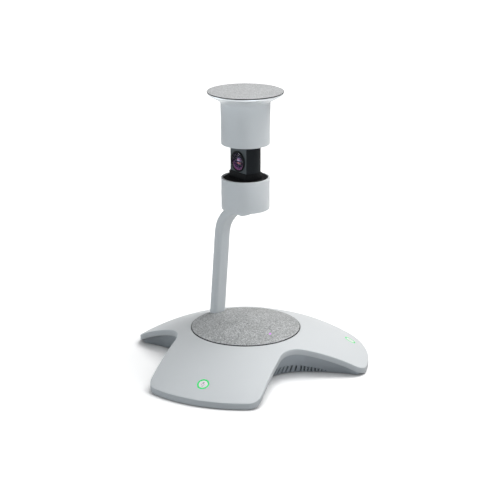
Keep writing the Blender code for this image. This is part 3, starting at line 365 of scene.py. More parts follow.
def carve(thing, tool):
    """Cut a tool body out of a piece and drop the tool."""
    cut = thing.modifiers.new("cut", "BOOLEAN")
    cut.solver = "EXACT"
    cut.object = tool
    settle(thing)
    bpy.data.objects.remove(tool, do_unlink=True)


def grow(thing, inputs):
    """Give an object a Geometry Nodes modifier with these inputs, and hand over the inputs' fields."""
    tree = bpy.data.node_groups.new(thing.name, "GeometryNodeTree")
    maker = thing.modifiers.new(thing.name, "NODES")
    tree.interface.new_socket("Geometry", in_out="INPUT", socket_type="NodeSocketGeometry")
    tree.interface.new_socket("Geometry", in_out="OUTPUT", socket_type="NodeSocketGeometry")
    sockets = [tree.interface.new_socket(name, in_out="INPUT", socket_type="NodeSocket" + kind)
               for name, (kind, value) in inputs.items()]
    maker.node_group = tree
    for socket, (kind, value) in zip(sockets, inputs.values()):
        maker[socket.identifier] = value
    return [Field(tree).make("NodeGroupInput", output=name) for name in ("Geometry", *inputs)]


def hand_out(instances, finish):
    """End a Geometry Nodes group: the instances as real geometry in their finish."""
    solid = instances.make("GeometryNodeRealizeInstances", {"Geometry": instances})
    solid = solid.make("GeometryNodeSetMaterial", {"Geometry": solid, "Material": finish})
    solid.make("NodeGroupOutput", {"Geometry": solid}, None)


def place(thing, slot, *nodes, body="phone_body"):
    """Let a finished piece ride on its body and stand for its solids."""
    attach(thing, body)
    if nodes:
        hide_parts(*nodes)


TONE_DRIFT = 0.035
GLOSS_SPREAD = 0.12
GRAIN_STRENGTH = 0.35


def shades(colour, darker, lighter):
    """Two tones of a colour, some share darker and lighter than it."""
    return [c * (1.0 - darker) for c in colour], [min(c * (1.0 + lighter), 1.0) for c in colour]


def moulded(name, colour, rough, cloud, grain, depth, shine=0.5):
    """Moulded plastic: a drift of tone, and a fine grain that varies the gloss; sizes in millimetres."""
    material, inputs, spot = begin(name, {"Specular IOR Level": shine})
    tones = shades(colour, TONE_DRIFT, TONE_DRIFT)
    spot.noise(1 / (cloud * MM), detail=3.0).mix(*tones).feed(inputs["Base Color"])
    pores = spot.noise(1 / (grain * MM), detail=2.0)
    (pores * GLOSS_SPREAD + (rough - GLOSS_SPREAD / 2)).feed(inputs["Roughness"])
    pores.bump(GRAIN_STRENGTH, depth * MM).feed(inputs["Normal"])
    return material


tray_finish = moulded("tray_plastic", TRAY_GREY, rough=0.55, cloud=40, grain=0.35, depth=0.02)
tray_tuck = COVER_WALL + FIT
tray_rows = []
for point, normal in OUTLINE:
    edge = rim_bottom(point)
    waist = max(edge, TRAY_BOTTOM + 2 * FIT)
    tucked = point - normal * tray_tuck
    foot = point - normal * max(undercut(edge), tray_tuck + FIT)
    wall = normal * TRAY_WALL
    corner_rise = min(TRAY_EDGE, (waist - TRAY_BOTTOM) / 3)
    corner_share = corner_rise / (waist - TRAY_BOTTOM)
    tray_rows.append([
        (*(foot - wall * 2), TRAY_BOTTOM + TRAY_WALL),
        (*(tucked - wall), waist + TRAY_WALL / 2),
        (*(tucked - wall), edge + TRAY_TONGUE),
        (*tucked, edge + TRAY_TONGUE),
        (*tucked, waist),
        (*foot.lerp(tucked, corner_share), TRAY_BOTTOM + corner_rise),
        (*(foot - normal * TRAY_EDGE / 2), TRAY_BOTTOM)])
tray = show("undercut_tray", loft(list(zip(*tray_rows))), tray_finish)

front_notch = [pair for pair in OUTLINE if abs(math.atan2(pair[0].x, -pair[0].y)) < NOTCH_HALF]
front_notch.sort(key=lambda pair: pair[0].x)


def notch_point(across):
    """Point and outward normal of the front notch's outline at a distance across it."""
    for (p, p_normal), (q, q_normal) in zip(front_notch, front_notch[1:]):
        if p.x <= across <= q.x:
            share = (across - p.x) / (q.x - p.x)
            return p.lerp(q, share), p_normal.lerp(q_normal, share).normalized()


slot_spots = []
slot_sizes = {"deep": [], "tall": [], "turn": []}
last_edge = rim_bottom(notch_point(SLOT_SIDE_COUNT * SLOT_PITCH)[0])
for k in range(-SLOT_SIDE_COUNT, SLOT_SIDE_COUNT + 1):
    point, normal = notch_point(k * SLOT_PITCH)
    edge = rim_bottom(point)
    tall = SLOT_LEAST + SLOT_SHARE * (edge - last_edge)
    deep = undercut(edge) + SLOT_OVERCUT
    slot_spots.append((*(point - normal * deep / 2), SLOT_BOTTOM + tall / 2))
    slot_sizes["deep"].append(deep)
    slot_sizes["tall"].append(tall)
    slot_sizes["turn"].append(math.atan2(normal.x, -normal.y))
comb = add_points("vent_comb", slot_spots)
for name, sizes in slot_sizes.items():
    comb.data.attributes.new(name, "FLOAT", "POINT").data.foreach_set("value", sizes)
given, width, coat = grow(comb, {"Slot width": ("Float", SLOT_WIDTH), "Finish": ("Material", tray_finish)})
deep, tall, turn = [given.make("GeometryNodeInputNamedAttribute", {"Name": name}, data_type="FLOAT")
                    for name in slot_sizes]
blade = given.make("GeometryNodeMeshCube", {"Size": (1.0, 1.0, 1.0)})
blades = given.make("GeometryNodeInstanceOnPoints", {
    "Points": given, "Instance": blade, "Rotation": given.make("ShaderNodeCombineXYZ", {"Z": turn}),
    "Scale": given.make("ShaderNodeCombineXYZ", {"X": width, "Y": deep, "Z": tall})})
combs = [blades]
for angle in NOTCH_ANGLES[::2]:
    rotation = {"Geometry": blades, "Rotation": (0.0, 0.0, angle + QUARTER)}
    combs.append(given.make("GeometryNodeTransform", rotation))
hand_out(given.make("GeometryNodeJoinGeometry", {"Geometry": combs}), coat)
settle(comb)
carve(tray, comb)
carve(tray, show("port_window", block(PORT_WINDOW_CENTRE, PORT_WINDOW)))

# Rubber feet and the pad under the middle: moulded black rubber discs, glued into place.
# They lift the tray a millimetre off the table and keep the phone from sliding.
FOOT_RADIUS = 8.0 * MM
FOOT_PLACE = 104.0 * MM
PAD_RADIUS = 24.0 * MM
FOOT_EDGE = 0.25 * MM
FOOT_FACETS = 48
RUBBER_BLACK = (0.03, 0.03, 0.032)


def bow(radius, start, end, steps, x=0.0, y=0.0):
    """Points on an arc about (x, y)."""
    return [(x + radius * math.cos(a), y + radius * math.sin(a)) for a in spread(start, end, steps)]


def soften(corners, steps=5):
    """Round a profile's corners: each is (radius, z) and, where it is round, the reach of its rounding."""
    points = []
    for i, (radius, z, *reach) in enumerate(corners):
        here = Vector((radius, z))
        if not reach:
            points.append(tuple(here))
            continue
        before, after = [Vector(corners[j % len(corners)][:2]) - here for j in (i - 1, i + 1)]
        start = here + before.normalized() * reach[0]
        end = here + after.normalized() * reach[0]
        for t in spread(0.0, 1.0, steps):
            points.append(tuple(start * (1 - t) ** 2 + here * 2 * t * (1 - t) + end * t ** 2))
    return points


def lathe(profile, facets, closed=False):
    """Turn a profile of (radius, z) points, which runs down its outer side, about the Z axis."""
    rings = [[(*spot, z) for spot in bow(radius, 0.0, 2 * math.pi, facets)[:-1]] for radius, z in profile]
    return loft(rings, closed)


def on_arm(angle, reach, z=0.0):
    return Vector((*heading(angle) * reach, z))


rubber = moulded("foot_rubber", RUBBER_BLACK, rough=0.8, cloud=6, grain=0.25, depth=0.03)
foot_top = TRAY_BOTTOM - FIT
feet = {"centre_pad": (PAD_RADIUS, Vector())}
for index, angle in enumerate(ARM_ANGLES, 1):
    feet[f"rubber_foot_{index}"] = (FOOT_RADIUS, on_arm(angle, FOOT_PLACE))
for name, (radius, spot) in feet.items():
    foot_profile = soften([(radius, foot_top), (radius, 0.0, FOOT_EDGE), (radius - 2 * FOOT_EDGE, 0.0)])
    foot = show(name + "_moulded", lathe(foot_profile, FOOT_FACETS), rubber, Matrix.Translation(spot))
    place(foot, "foot_rubber", name)

# Cover screws: zinc plated pan heads with a cross recess, sunk into wells in the tray's floor.
# They run up through the tray's pillars and the board into the cover's bosses.
SCREW_PLACE = 88.0 * MM
SCREW_RADIUS = 1.5 * MM
SCREW_TIP = SCREW_RADIUS / 4
SCREW_HEAD_RADIUS = 3.0 * MM
SCREW_HEAD_HEIGHT = 1.2 * MM
SCREW_LENGTH = 17.0 * MM
SCREW_FACETS = 32
CROSS = Vector((3.4, 0.8, 1.4)) * MM
ZINC = (0.55, 0.56, 0.58)
ZINC_ROUGH = 0.38
ZINC_SPREAD = 0.3
ZINC_DARKER = 0.15
ZINC_LIGHTER = 0.12
ZINC_CLOUD = 90.0
DRAWN_GRAIN = 400.0
DRAWN = (1.0, 12.0, 1.0)


def drum(name, radius, top, bottom, facets, matrix):
    """Plain cylinder to cut with."""
    return show(name, lathe([(radius, top), (radius, bottom)], facets), None, matrix)


well_top = TRAY_BOTTOM + SCREW_HEAD_HEIGHT + 2 * FIT
for angle in ARM_ANGLES:
    well_spot = Matrix.Translation(on_arm(angle, SCREW_PLACE))
    carve(tray, drum("head_well", SCREW_HEAD_RADIUS + FIT, well_top, 0.0, SCREW_FACETS, well_spot))
place(tray, "housing_plastic", "lower_housing")

# The plating has a fine drawn grain that shifts the gloss, over a faintly clouded tone.
zinc, zinc_inputs, zinc_spot = begin("zinc_plate", {"Metallic": 1.0})
drawn = zinc_spot.make("ShaderNodeMapping", {"Vector": zinc_spot, "Scale": DRAWN})
drawn_grain = drawn.noise(DRAWN_GRAIN, detail=4.0)
zinc_tones = shades(ZINC, ZINC_DARKER, ZINC_LIGHTER)
zinc_spot.noise(ZINC_CLOUD, detail=2.0).mix(*zinc_tones).feed(zinc_inputs["Base Color"])
(drawn_grain * ZINC_SPREAD + (ZINC_ROUGH - ZINC_SPREAD / 2)).feed(zinc_inputs["Roughness"])
screw_low = TRAY_BOTTOM + FIT
screw_high = TRAY_BOTTOM + SCREW_LENGTH
screw_neck = screw_low + SCREW_HEAD_HEIGHT
screw_profile = soften([
    (SCREW_TIP, screw_high), (SCREW_RADIUS, screw_high - SCREW_RADIUS),
    (SCREW_RADIUS, screw_neck), (SCREW_HEAD_RADIUS, screw_neck),
    (SCREW_HEAD_RADIUS, screw_low, SCREW_HEAD_HEIGHT / 2), (SCREW_TIP, screw_low)])
screw_model = show("screw_model", lathe(screw_profile, SCREW_FACETS), zinc)
for turn in (0.0, QUARTER):
    carve(screw_model, show("cross_bar", block((0.0, 0.0, screw_low), CROSS, turn)))
screws = add_points("cover_screws", [on_arm(angle, SCREW_PLACE) for angle in ARM_ANGLES])
spots, model, plating = grow(screws, {"Screw": ("Object", screw_model), "Finish": ("Material", zinc)})
one = spots.make("GeometryNodeObjectInfo", {"Object": model}, "Geometry")
hand_out(spots.make("GeometryNodeInstanceOnPoints", {"Points": spots, "Instance": one}), plating)
settle(screws)
bpy.data.objects.remove(screw_model, do_unlink=True)
place(screws, "zinc_steel", "base_screw_1", "base_screw_2", "base_screw_3")

# Inner pieces: ballast, circuit boards, loudspeaker, post socket and leads, all closed in by the housing.
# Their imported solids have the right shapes, so they stay and get their finishes.
# The boards' copper tracks show through the green lacquer as a lighter maze.
BOARD_GREEN = (0.02, 0.12, 0.06)
TRACE_GREEN = (0.05, 0.2, 0.1)
TRACE_SCALE = 160.0
TRACE_WIDTH = 0.06
TRACE_TONES = {
    "Color1": (0.0, 0.0, 0.0, 1.0), "Color2": (0.25, 0.25, 0.25, 1.0), "Mortar": (1.0, 1.0, 1.0, 1.0)}
BOARD_ROUGH = 0.5
PULP_BLACK = (0.05, 0.05, 0.05)
JACKET_BLACK = (0.04, 0.04, 0.045)
SATIN_BLACK = (0.006, 0.0065, 0.007)


def dress(material, *nodes):
    for node in nodes:
        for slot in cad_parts[node].material_slots:
            slot.material = material


mask, mask_inputs, mask_spot = begin("solder_mask", {})
maze = mask_spot.make("ShaderNodeTexBrick", {
    "Vector": mask_spot, "Scale": TRACE_SCALE, "Mortar Size": TRACE_WIDTH, **TRACE_TONES})
maze.mix(BOARD_GREEN, TRACE_GREEN).feed(mask_inputs["Base Color"])
(BOARD_ROUGH - maze * GLOSS_SPREAD).feed(mask_inputs["Roughness"])
pulp = moulded("cone_pulp", PULP_BLACK, rough=0.85, cloud=3, grain=0.5, depth=0.08)
jacket = moulded("lead_jacket", JACKET_BLACK, rough=0.6, cloud=8, grain=0.3, depth=0.02)
satin_black = moulded("satin_black", SATIN_BLACK, rough=0.55, cloud=25, grain=0.4, depth=0.006, shine=0.05)
dress(zinc, "ballast_plate", "speaker_frame", "speaker_magnet", "foot_screw_1", "foot_screw_2", "cup_screw",
      "stop_plate", "stop_screw")
dress(mask, "main_board", "key_board_1", "key_board_2", "key_board_3", "head_board", "sensor_board_1",
      "sensor_board_2", "cap_mic_board")
dress(pulp, "speaker_cone")
dress(jacket, "post_cable")
dress(satin_black, "speaker_box", "grille_plate", "post_foot", "cap_bush", "cap_grille")

# Inlet: a pressed steel socket with a black tongue, on the board's ear behind the window in the rear arm.
# Its mouth is a flat slot with round ends.
PORT_MOUTH_X = 47.0 * MM
PORT_DEPTH = 8.0 * MM
PORT_WIDTH = 9.0 * MM
PORT_HEIGHT = 3.4 * MM
PORT_WALL = 0.4 * MM
PORT_MIDDLE = 12.6 * MM
PORT_FACETS = 12
TONGUE_SIZE = Vector((6.0, 6.4, 0.8)) * MM


def slot_loop(x, inset):
    """Outline of the inlet's slot in a plane across X, drawn in by an inset."""
    half = PORT_HEIGHT / 2 - inset
    points = []
    for side in (1, -1):
        middle = PORT_Y + side * (PORT_WIDTH - PORT_HEIGHT) / 2
        points += bow(half, -side * QUARTER, -side * QUARTER + math.pi, PORT_FACETS, middle, PORT_MIDDLE)
    return [(x, *point) for point in points]


port_back = PORT_MOUTH_X - PORT_DEPTH
bore_back = port_back + PORT_WALL
socket = show("inlet_shell", loft([slot_loop(bore_back, PORT_WALL), slot_loop(PORT_MOUTH_X, PORT_WALL),
                                   slot_loop(PORT_MOUTH_X, 0.0), slot_loop(port_back, 0.0)]), zinc)
place(socket, "zinc_steel", "usb_socket")
tongue = block((bore_back + TONGUE_SIZE.x / 2, PORT_Y, PORT_MIDDLE), TONGUE_SIZE)
bmesh.ops.bevel(tongue, geom=tongue.edges[:], offset=PORT_WALL / 4, segments=2, affect="EDGES")
place(show("inlet_tongue", tongue, satin_black), "black_plastic")

# Cover: one pale satin moulding, a shallow dome on three arms with a soft edge and a low upright rim.
# A round recess takes the loudspeaker's cloth, and each arm has a hole for its key.
COVER_EDGE = 1.0 * MM
RIM_EDGE = 0.5 * MM
DOME_ROWS = 26
LINER_ROWS = 4
LINER_DROP = COVER_WALL * 1.1
EDGE_STEPS = 6
EDGE_TURNS = spread(0.0, QUARTER, EDGE_STEPS - 1)
CLOTH_RADIUS = 57.4 * MM
RECESS_RADIUS = 57.9 * MM
RECESS_DEPTH = 2.0 * MM
RECESS_EDGE = 0.35 * MM
LEDGE_INNER = 55.8 * MM
KEY_PLACE = 113.0 * MM
RING_RADIUS = 6.1 * MM
KEY_FACETS = 64
SATIN_PALE = (0.7, 0.72, 0.73)
SATIN = {"rough": 0.42, "cloud": 60, "grain": 0.3, "depth": 0.012, "shine": 0.15}

satin = moulded("satin_pale", SATIN_PALE, **SATIN)
ledge_z = dome_z(RECESS_RADIUS) - RECESS_DEPTH
cover_rings = [(LEDGE_INNER, ledge_z), (RECESS_RADIUS, ledge_z)]
for turn in EDGE_TURNS:
    lip_radius = RECESS_RADIUS + RECESS_EDGE * (1 - math.cos(turn))
    cover_rings.append((lip_radius, dome_z(lip_radius) - RECESS_EDGE * (1 - math.sin(turn))))
rim_steps = ((0.0, RIM_EDGE), (RIM_EDGE / 3, RIM_EDGE / 3), (RIM_EDGE, 0.0), (COVER_WALL, 0.0))
cover_lines = []
for point, normal in OUTLINE:
    bearing = point.normalized()
    line = [(*(bearing * radius), z) for radius, z in cover_rings]
    fall = point.dot(normal) / math.sqrt(DOME_RADIUS ** 2 - point.length_squared)
    start = math.atan(fall)
    middle = dome_z(point.length) + fall * COVER_EDGE * (1 - math.sin(start)) - COVER_EDGE * math.cos(start)
    arc = [(*(point - normal * COVER_EDGE * (1 - math.sin(a))), middle + COVER_EDGE * math.cos(a))
           for a in spread(start, QUARTER, EDGE_STEPS)]
    for share in spread(0.0, 1.0, DOME_ROWS)[1:-1]:
        spot = (bearing * (RECESS_RADIUS + RECESS_EDGE)).lerp(Vector(arc[0][:2]), share)
        line.append((*spot, dome_z(spot.length)))
    line += arc
    line += [(*(point - normal * inset), rim_bottom(point) + rise) for inset, rise in rim_steps]
    for share in spread(0.0, 1.0, LINER_ROWS):
        spot = (point - normal * COVER_WALL).lerp(bearing * LEDGE_INNER, share)
        line.append((*spot, dome_z(spot.length) - LINER_DROP))
    cover_lines.append(line)
cover = show("domed_cover", loft(list(zip(*cover_lines)), closed=True), satin)


def key_frame(angle):
    """Frame on the dome at a key: Z along the dome's normal, X down the arm."""
    spot = Matrix.Translation(on_arm(angle, KEY_PLACE, dome_z(KEY_PLACE)))
    tilt = Matrix.Rotation(math.asin(KEY_PLACE / DOME_RADIUS), 4, "Y")
    return spot @ Matrix.Rotation(angle, 4, "Z") @ tilt


for angle in ARM_ANGLES:
    spot = key_frame(angle)
    carve(cover, drum("key_hole", RING_RADIUS + FIT, 2 * COVER_WALL, -4 * COVER_WALL, KEY_FACETS, spot))
place(cover, "shell_plastic", "top_shell")

# Loudspeaker cloth: speckled acoustic cloth stretched over the perforated plate, level with the cover.
# The post passes through it at the back and the status light shows through it at the front.
CLOTH_HEIGHT = 0.8 * MM
CLOTH_PROUD = 0.4 * MM
CLOTH_EDGE = 0.35 * MM
CLOTH_ROWS = 20
CLOTH_MIDDLE = CLOTH_RADIUS / 200
CLOTH_FACETS = 160
CLOTH_THREAD = 1.25 * MM
CLOTH_DARK = (0.13, 0.135, 0.135)
CLOTH_LIGHT = (0.78, 0.79, 0.79)
CLOTH_PLAIN = {"Roughness": 0.95, "Specular IOR Level": 0.2, "Sheen Weight": 0.15}
YARN_SCALE = 0.9
YARN_SHARE = 1.5
FLECK_SCALE = 1.1
FLECK_SHARE = 0.35
PATCH_SCALE = 60.0
PATCH_SHARE = 0.25
SPECKLE_DROP = 0.55
WEAVE_SHARE = 0.5
THREAD_STRENGTH = 0.5
THREAD_RISE = 1 / 8
EDGE_DARK = (0.03, 0.03, 0.032)
POST_WIDTH = 15.0 * MM
POST_DEPTH = 11.5 * MM
POST_CORNER = 3.6 * MM
POST_LEAN = math.radians(5.9)
POST_REF = Vector((0.0, 49.3, 43.0)) * MM
STATUS_PLACE = 41.0 * MM
STATUS_RADIUS = 1.2 * MM


def heather(name, dark, light, thread):
    """Melange cloth: light and dark yarn in a plain weave, with the threads raised."""
    material, inputs, spot = begin(name, CLOTH_PLAIN)
    across, along = [spot.make("ShaderNodeSeparateXYZ", {0: spot}, axis) * (2 * math.pi / thread)
                     for axis in "XY"]
    weave = spot.maths("SINE", across) * spot.maths("SINE", along)
    yarn = spot.noise(YARN_SCALE / thread, detail=1.5)
    fleck = spot.make("ShaderNodeTexVoronoi", {"Vector": spot, "Scale": FLECK_SCALE / thread}, "Color")
    patch = spot.noise(PATCH_SCALE, detail=2.0)
    speckle = yarn * YARN_SHARE + fleck * FLECK_SHARE + patch * PATCH_SHARE - SPECKLE_DROP
    speckle.clamp().mix(dark, light).feed(inputs["Base Color"])
    (weave * WEAVE_SHARE + yarn).bump(THREAD_STRENGTH, thread * THREAD_RISE).feed(inputs["Normal"])
    return material


def rounded_rectangle(width, depth, corner, steps=6):
    """Points of a rectangle across X and Y with round corners."""
    points = []
    for quarter, (sx, sy) in enumerate(((1, 1), (-1, 1), (-1, -1), (1, -1))):
        points += bow(corner, quarter * QUARTER, (quarter + 1) * QUARTER, steps,
                      sx * (width / 2 - corner), sy * (depth / 2 - corner))
    return points


def recoat(thing, finish, chosen):
    """Give the faces with a chosen middle a second finish."""
    thing.data.materials.append(finish)
    for face in thing.data.polygons:
        if chosen(face.center):
            face.material_index = 1


edge_dark = moulded("cloth_dark_edge", EDGE_DARK, rough=0.9, cloud=4, grain=0.3, depth=0.02, shine=0.1)
cloth_rows = [CLOTH_MIDDLE + (CLOTH_RADIUS - CLOTH_EDGE) * i / CLOTH_ROWS for i in range(CLOTH_ROWS)]
cloth_profile = [(r, dome_z(r) + CLOTH_PROUD) for r in cloth_rows]
for turn in EDGE_TURNS:
    edge_radius = CLOTH_RADIUS - CLOTH_EDGE * (1 - math.sin(turn))
    cloth_profile.append((edge_radius, dome_z(edge_radius) + CLOTH_PROUD - CLOTH_EDGE * (1 - math.cos(turn))))
cloth_profile += [(r, dome_z(r) + CLOTH_PROUD - CLOTH_HEIGHT) for r in [CLOTH_RADIUS] + cloth_rows[::-1]]
cloth = show("stretched_cloth", lathe(cloth_profile, CLOTH_FACETS),
             heather("speaker_cloth", CLOTH_DARK, CLOTH_LIGHT, CLOTH_THREAD))
slot_points = rounded_rectangle(POST_WIDTH + 2 * FIT, POST_DEPTH + 2 * FIT, POST_CORNER + FIT)
post_slot = loft([[(*point, z) for point in slot_points] for z in (POST_WIDTH, -POST_WIDTH)])
post_frame = Matrix.Translation(POST_REF) @ Matrix.Rotation(POST_LEAN, 4, "X")
carve(cloth, show("post_slot", post_slot, None, post_frame))
light_spot = Matrix.Translation((0.0, -STATUS_PLACE, dome_z(STATUS_PLACE)))
carve(cloth, drum("light_slot", STATUS_RADIUS + FIT / 3, POST_WIDTH, -POST_WIDTH, SCREW_FACETS, light_spot))
# The faces at the cloth's rounded edge take a near-black finish.
recoat(cloth, edge_dark, lambda middle: middle.xy.length > CLOTH_RADIUS - CLOTH_EDGE)
place(cloth, "grey_cloth", "base_fabric")

# Status light: a clear light pipe with a rounded tip, lit magenta from the board below.
# Only its tip shows, level with the top of the cloth.
STATUS_MAGENTA = (0.77, 0.2, 0.91)
STATUS_TIP = 0.35 * MM
STATUS_MIDDLE = STATUS_RADIUS / 6
STATUS_LENGTH = 25.0 * MM
STATUS_GLOW = 0.7
STATUS_DARKER = 0.15
GUIDE_ROUGH = 0.25
GUIDE_STREAKS = 420.0


def lit_guide(name, colour, darker, strength):
    """Light guide: milky plastic that glows, a little brighter where its streaks gather the light."""
    material, inputs, spot = begin(name, {"Roughness": GUIDE_ROUGH, "Emission Strength": strength})
    glow = spot.noise(GUIDE_STREAKS, detail=1.0).mix(*shades(colour, darker, 0.0))
    glow.feed(inputs["Base Color"])
    glow.feed(inputs["Emission Color"])
    return material


magenta = lit_guide("status_magenta", STATUS_MAGENTA, STATUS_DARKER, STATUS_GLOW)
pipe_profile = soften([(STATUS_MIDDLE, CLOTH_PROUD), (STATUS_RADIUS, CLOTH_PROUD, STATUS_TIP),
                       (STATUS_RADIUS, -STATUS_LENGTH)])
pipe = show("status_pipe", lathe(pipe_profile, SCREW_FACETS), magenta, light_spot)
place(pipe, "magenta_light_guide", "status_light")

# Mute keys: a round satin key in a lit green ring on each arm, square to the dome.
# The key carries a plain printed microphone sign with its top towards the middle of the base.
KEY_RADIUS = 4.6 * MM
KEY_MIDDLE = KEY_RADIUS / 20
KEY_HEIGHT = 3.0 * MM
KEY_EDGE = 0.35 * MM
RING_WIDTH = 1.2 * MM
RING_DEPTH = 6.5 * MM
RING_EDGE = 0.2 * MM
RING_GLOW = 0.35
RING_DARKER = 0.2
KEY_STEM_RADIUS = 2.0 * MM
KEY_STEM = 4.9 * MM
KEY_PALE = (0.93, 0.87, 0.9)
SIGN_GREY = (0.5, 0.52, 0.52)
RING_GREEN = (0.05, 0.75, 0.2)
SIGN_RISE = 0.04 * MM
SIGN_LINE = 0.5 * MM
CAPSULE_HALF = 0.95 * MM
CAPSULE_TOP = -2.6 * MM
CAPSULE_END = 0.1 * MM
CRADLE_RADIUS = 1.7 * MM
CRADLE_STEPS = 12
STAND = 2.7 * MM
STAND_HALF = CRADLE_RADIUS / 1.5

green = lit_guide("ring_green", RING_GREEN, RING_DARKER, RING_GLOW)
key_satin = moulded("key_satin", KEY_PALE, rough=0.4, cloud=5, grain=0.25, depth=0.008)
sign_ink = moulded("sign_ink", SIGN_GREY, rough=0.5, cloud=2, grain=0.2, depth=0.004)
ring_bore = RING_RADIUS - RING_WIDTH
ring_profile = soften([(RING_RADIUS, 0.0, RING_EDGE), (RING_RADIUS, -RING_DEPTH),
                       (ring_bore, -RING_DEPTH), (ring_bore, 0.0, RING_EDGE)])
key_profile = soften([
    (KEY_MIDDLE, 0.0), (KEY_RADIUS, 0.0, KEY_EDGE), (KEY_RADIUS, -KEY_HEIGHT),
    (KEY_STEM_RADIUS, -KEY_HEIGHT), (KEY_STEM_RADIUS, -KEY_STEM),
    (KEY_MIDDLE, -KEY_STEM)])


def stroke(shape, points, width):
    """Lay a flat printed line of this width along points on the key's face."""
    left, right = [], []
    for i, point in enumerate(points):
        before = Vector(points[max(i - 1, 0)])
        after = Vector(points[min(i + 1, len(points) - 1)])
        side = (after - before).normalized().orthogonal() * width / 2
        left.append(Vector(point) + side)
        right.append(Vector(point) - side)
    lower, upper = [[shape.verts.new((*p, z)) for p in left + right[::-1]] for z in (-SIGN_RISE, SIGN_RISE)]
    count = len(lower)
    for level in (upper, lower):
        for i in range(len(points) - 1):
            shape.faces.new((level[i], level[i + 1], level[count - 2 - i], level[count - 1 - i]))
    for i in range(count):
        j = (i + 1) % count
        shape.faces.new((lower[i], lower[j], upper[j], upper[i]))


for index, angle in enumerate(ARM_ANGLES, 1):
    spot = key_frame(angle)
    halo = show(f"lit_ring_{index}", lathe(ring_profile, KEY_FACETS, closed=True), green, spot)
    place(halo, "green_light_guide", f"light_ring_{index}")
    key = show(f"round_key_{index}", lathe(key_profile, KEY_FACETS), key_satin, spot)
    place(key, "key_plastic", f"mute_key_{index}", body=f"key_{index}")
    sign = bmesh.new()
    stroke(sign, [(CAPSULE_TOP, 0.0), (CAPSULE_END, 0.0)], 2 * CAPSULE_HALF)
    stroke(sign, bow(CRADLE_RADIUS, -QUARTER, QUARTER, CRADLE_STEPS, CAPSULE_END), SIGN_LINE)
    stroke(sign, [(CAPSULE_END + CRADLE_RADIUS + SIGN_LINE, 0.0), (STAND, 0.0)], SIGN_LINE)
    stroke(sign, [(STAND + SIGN_LINE, -STAND_HALF), (STAND + SIGN_LINE, STAND_HALF)], SIGN_LINE)
    place(show(f"key_sign_{index}", sign, sign_ink, spot), "housing_plastic", body=f"key_{index}")

# Post: a rounded rectangular tube in the cover's finish, bent forwards over the base at its top.
# It stands in a socket under the cloth, thins to a flat neck, and its closed end carries the camera's cup.
POST_BEND = 34.0 * MM
POST_TOP_LINE = 163.9 * MM
POST_NECK = 0.71
POST_NECK_START = math.radians(40)
POST_BOTTOM = 9.4 * MM
POST_RUN_ROWS = 12
POST_BEND_ROWS = 28
POST_END_ROWS = 7
POST_END_TURN = math.radians(82)


def post_line(z):
    return POST_REF.y - math.tan(POST_LEAN) * (z - POST_REF.z)


bend_z = POST_TOP_LINE - POST_BEND * (1 - math.sin(POST_LEAN))
bend_centre = Vector((post_line(bend_z) - POST_BEND * math.cos(POST_LEAN), POST_TOP_LINE - POST_BEND))
post_rows = [(post_line(z), z, POST_LEAN, 1.0, 1.0) for z in spread(POST_BOTTOM, bend_z, POST_RUN_ROWS)[:-1]]
for a in spread(POST_LEAN, QUARTER, POST_BEND_ROWS):
    way = max(a - POST_NECK_START, 0.0) / (QUARTER - POST_NECK_START)
    share = 1.0 + (POST_NECK - 1.0) * way * way * (3.0 - 2.0 * way)
    spot = bend_centre + heading(a) * (POST_BEND + (1.0 - share) * POST_DEPTH / 2)
    post_rows.append((*spot, a, 1.0, share))
end_z = POST_TOP_LINE + (1.0 - POST_NECK) * POST_DEPTH / 2
for a in spread(0.0, POST_END_TURN, POST_END_ROWS - 1):
    y = -POST_NECK * POST_DEPTH / 2 * math.sin(a)
    post_rows.append((y, end_z, QUARTER, math.cos(a), POST_NECK * math.cos(a)))
post_section = rounded_rectangle(POST_WIDTH, POST_DEPTH, POST_CORNER)
post_loops = []
for y, z, lean, wide, share in post_rows:
    post_loops.append([(sx * wide, y + sy * share * math.cos(lean), z + sy * share * math.sin(lean))
                       for sx, sy in post_section])
place(show("bent_post", loft(post_loops[::-1]), satin), "shell_plastic", "post")

# Cup: a turned and painted cup on the end of the post, with a black deck plate let into its mouth.
# The camera's column rises from the deck through a raised collar.
CUP_RADIUS = 25.0 * MM
CUP_DRAFT = 0.1 * MM
CUP_BOTTOM = 170.0 * MM
CUP_TOP = 203.0 * MM
CUP_WALL = 2.0 * MM
CUP_FLOOR = 2.4 * MM
CUP_EDGE = 0.8 * MM
CUP_LIP = 0.35 * MM
CABLE_HOLE = 3.3 * MM
BOARD_SEAT = 14.0 * MM
BOARD_LEDGE = 1.5 * MM
DECK_SEAT = 1.0 * MM
DECK_DROP = 0.7 * MM
DECK_HEIGHT = 2.3 * MM
DECK_BLACK = (0.016, 0.016, 0.017)
COLUMN_RADIUS = 16.2 * MM
COLUMN_FLAT = 9.3 * MM
COLLAR_STEP = 1.1 * MM
COLLAR_TOP = 209.3 * MM
COLLAR_EDGE = 0.6 * MM
HEAD_FACETS = 160

deck_top = CUP_TOP - DECK_DROP
deck_low = deck_top - DECK_HEIGHT
cup_inner = CUP_RADIUS - CUP_WALL
seat_inner = cup_inner - DECK_SEAT
board_inner = seat_inner - BOARD_LEDGE
cup_floor = CUP_BOTTOM + CUP_FLOOR
board_seat = CUP_BOTTOM + BOARD_SEAT
cup_profile = soften([
    (CUP_RADIUS, CUP_TOP, CUP_LIP), (CUP_RADIUS - CUP_DRAFT, CUP_BOTTOM, CUP_EDGE),
    (CABLE_HOLE, CUP_BOTTOM), (CABLE_HOLE, cup_floor), (board_inner, cup_floor),
    (board_inner, board_seat), (seat_inner, board_seat),
    (seat_inner, deck_low - FIT), (cup_inner, deck_low - FIT),
    (cup_inner, CUP_TOP, CUP_LIP)])
cup = show("camera_cup", lathe(cup_profile, HEAD_FACETS, closed=True), satin)
place(cup, "shell_plastic", "cup_shell")


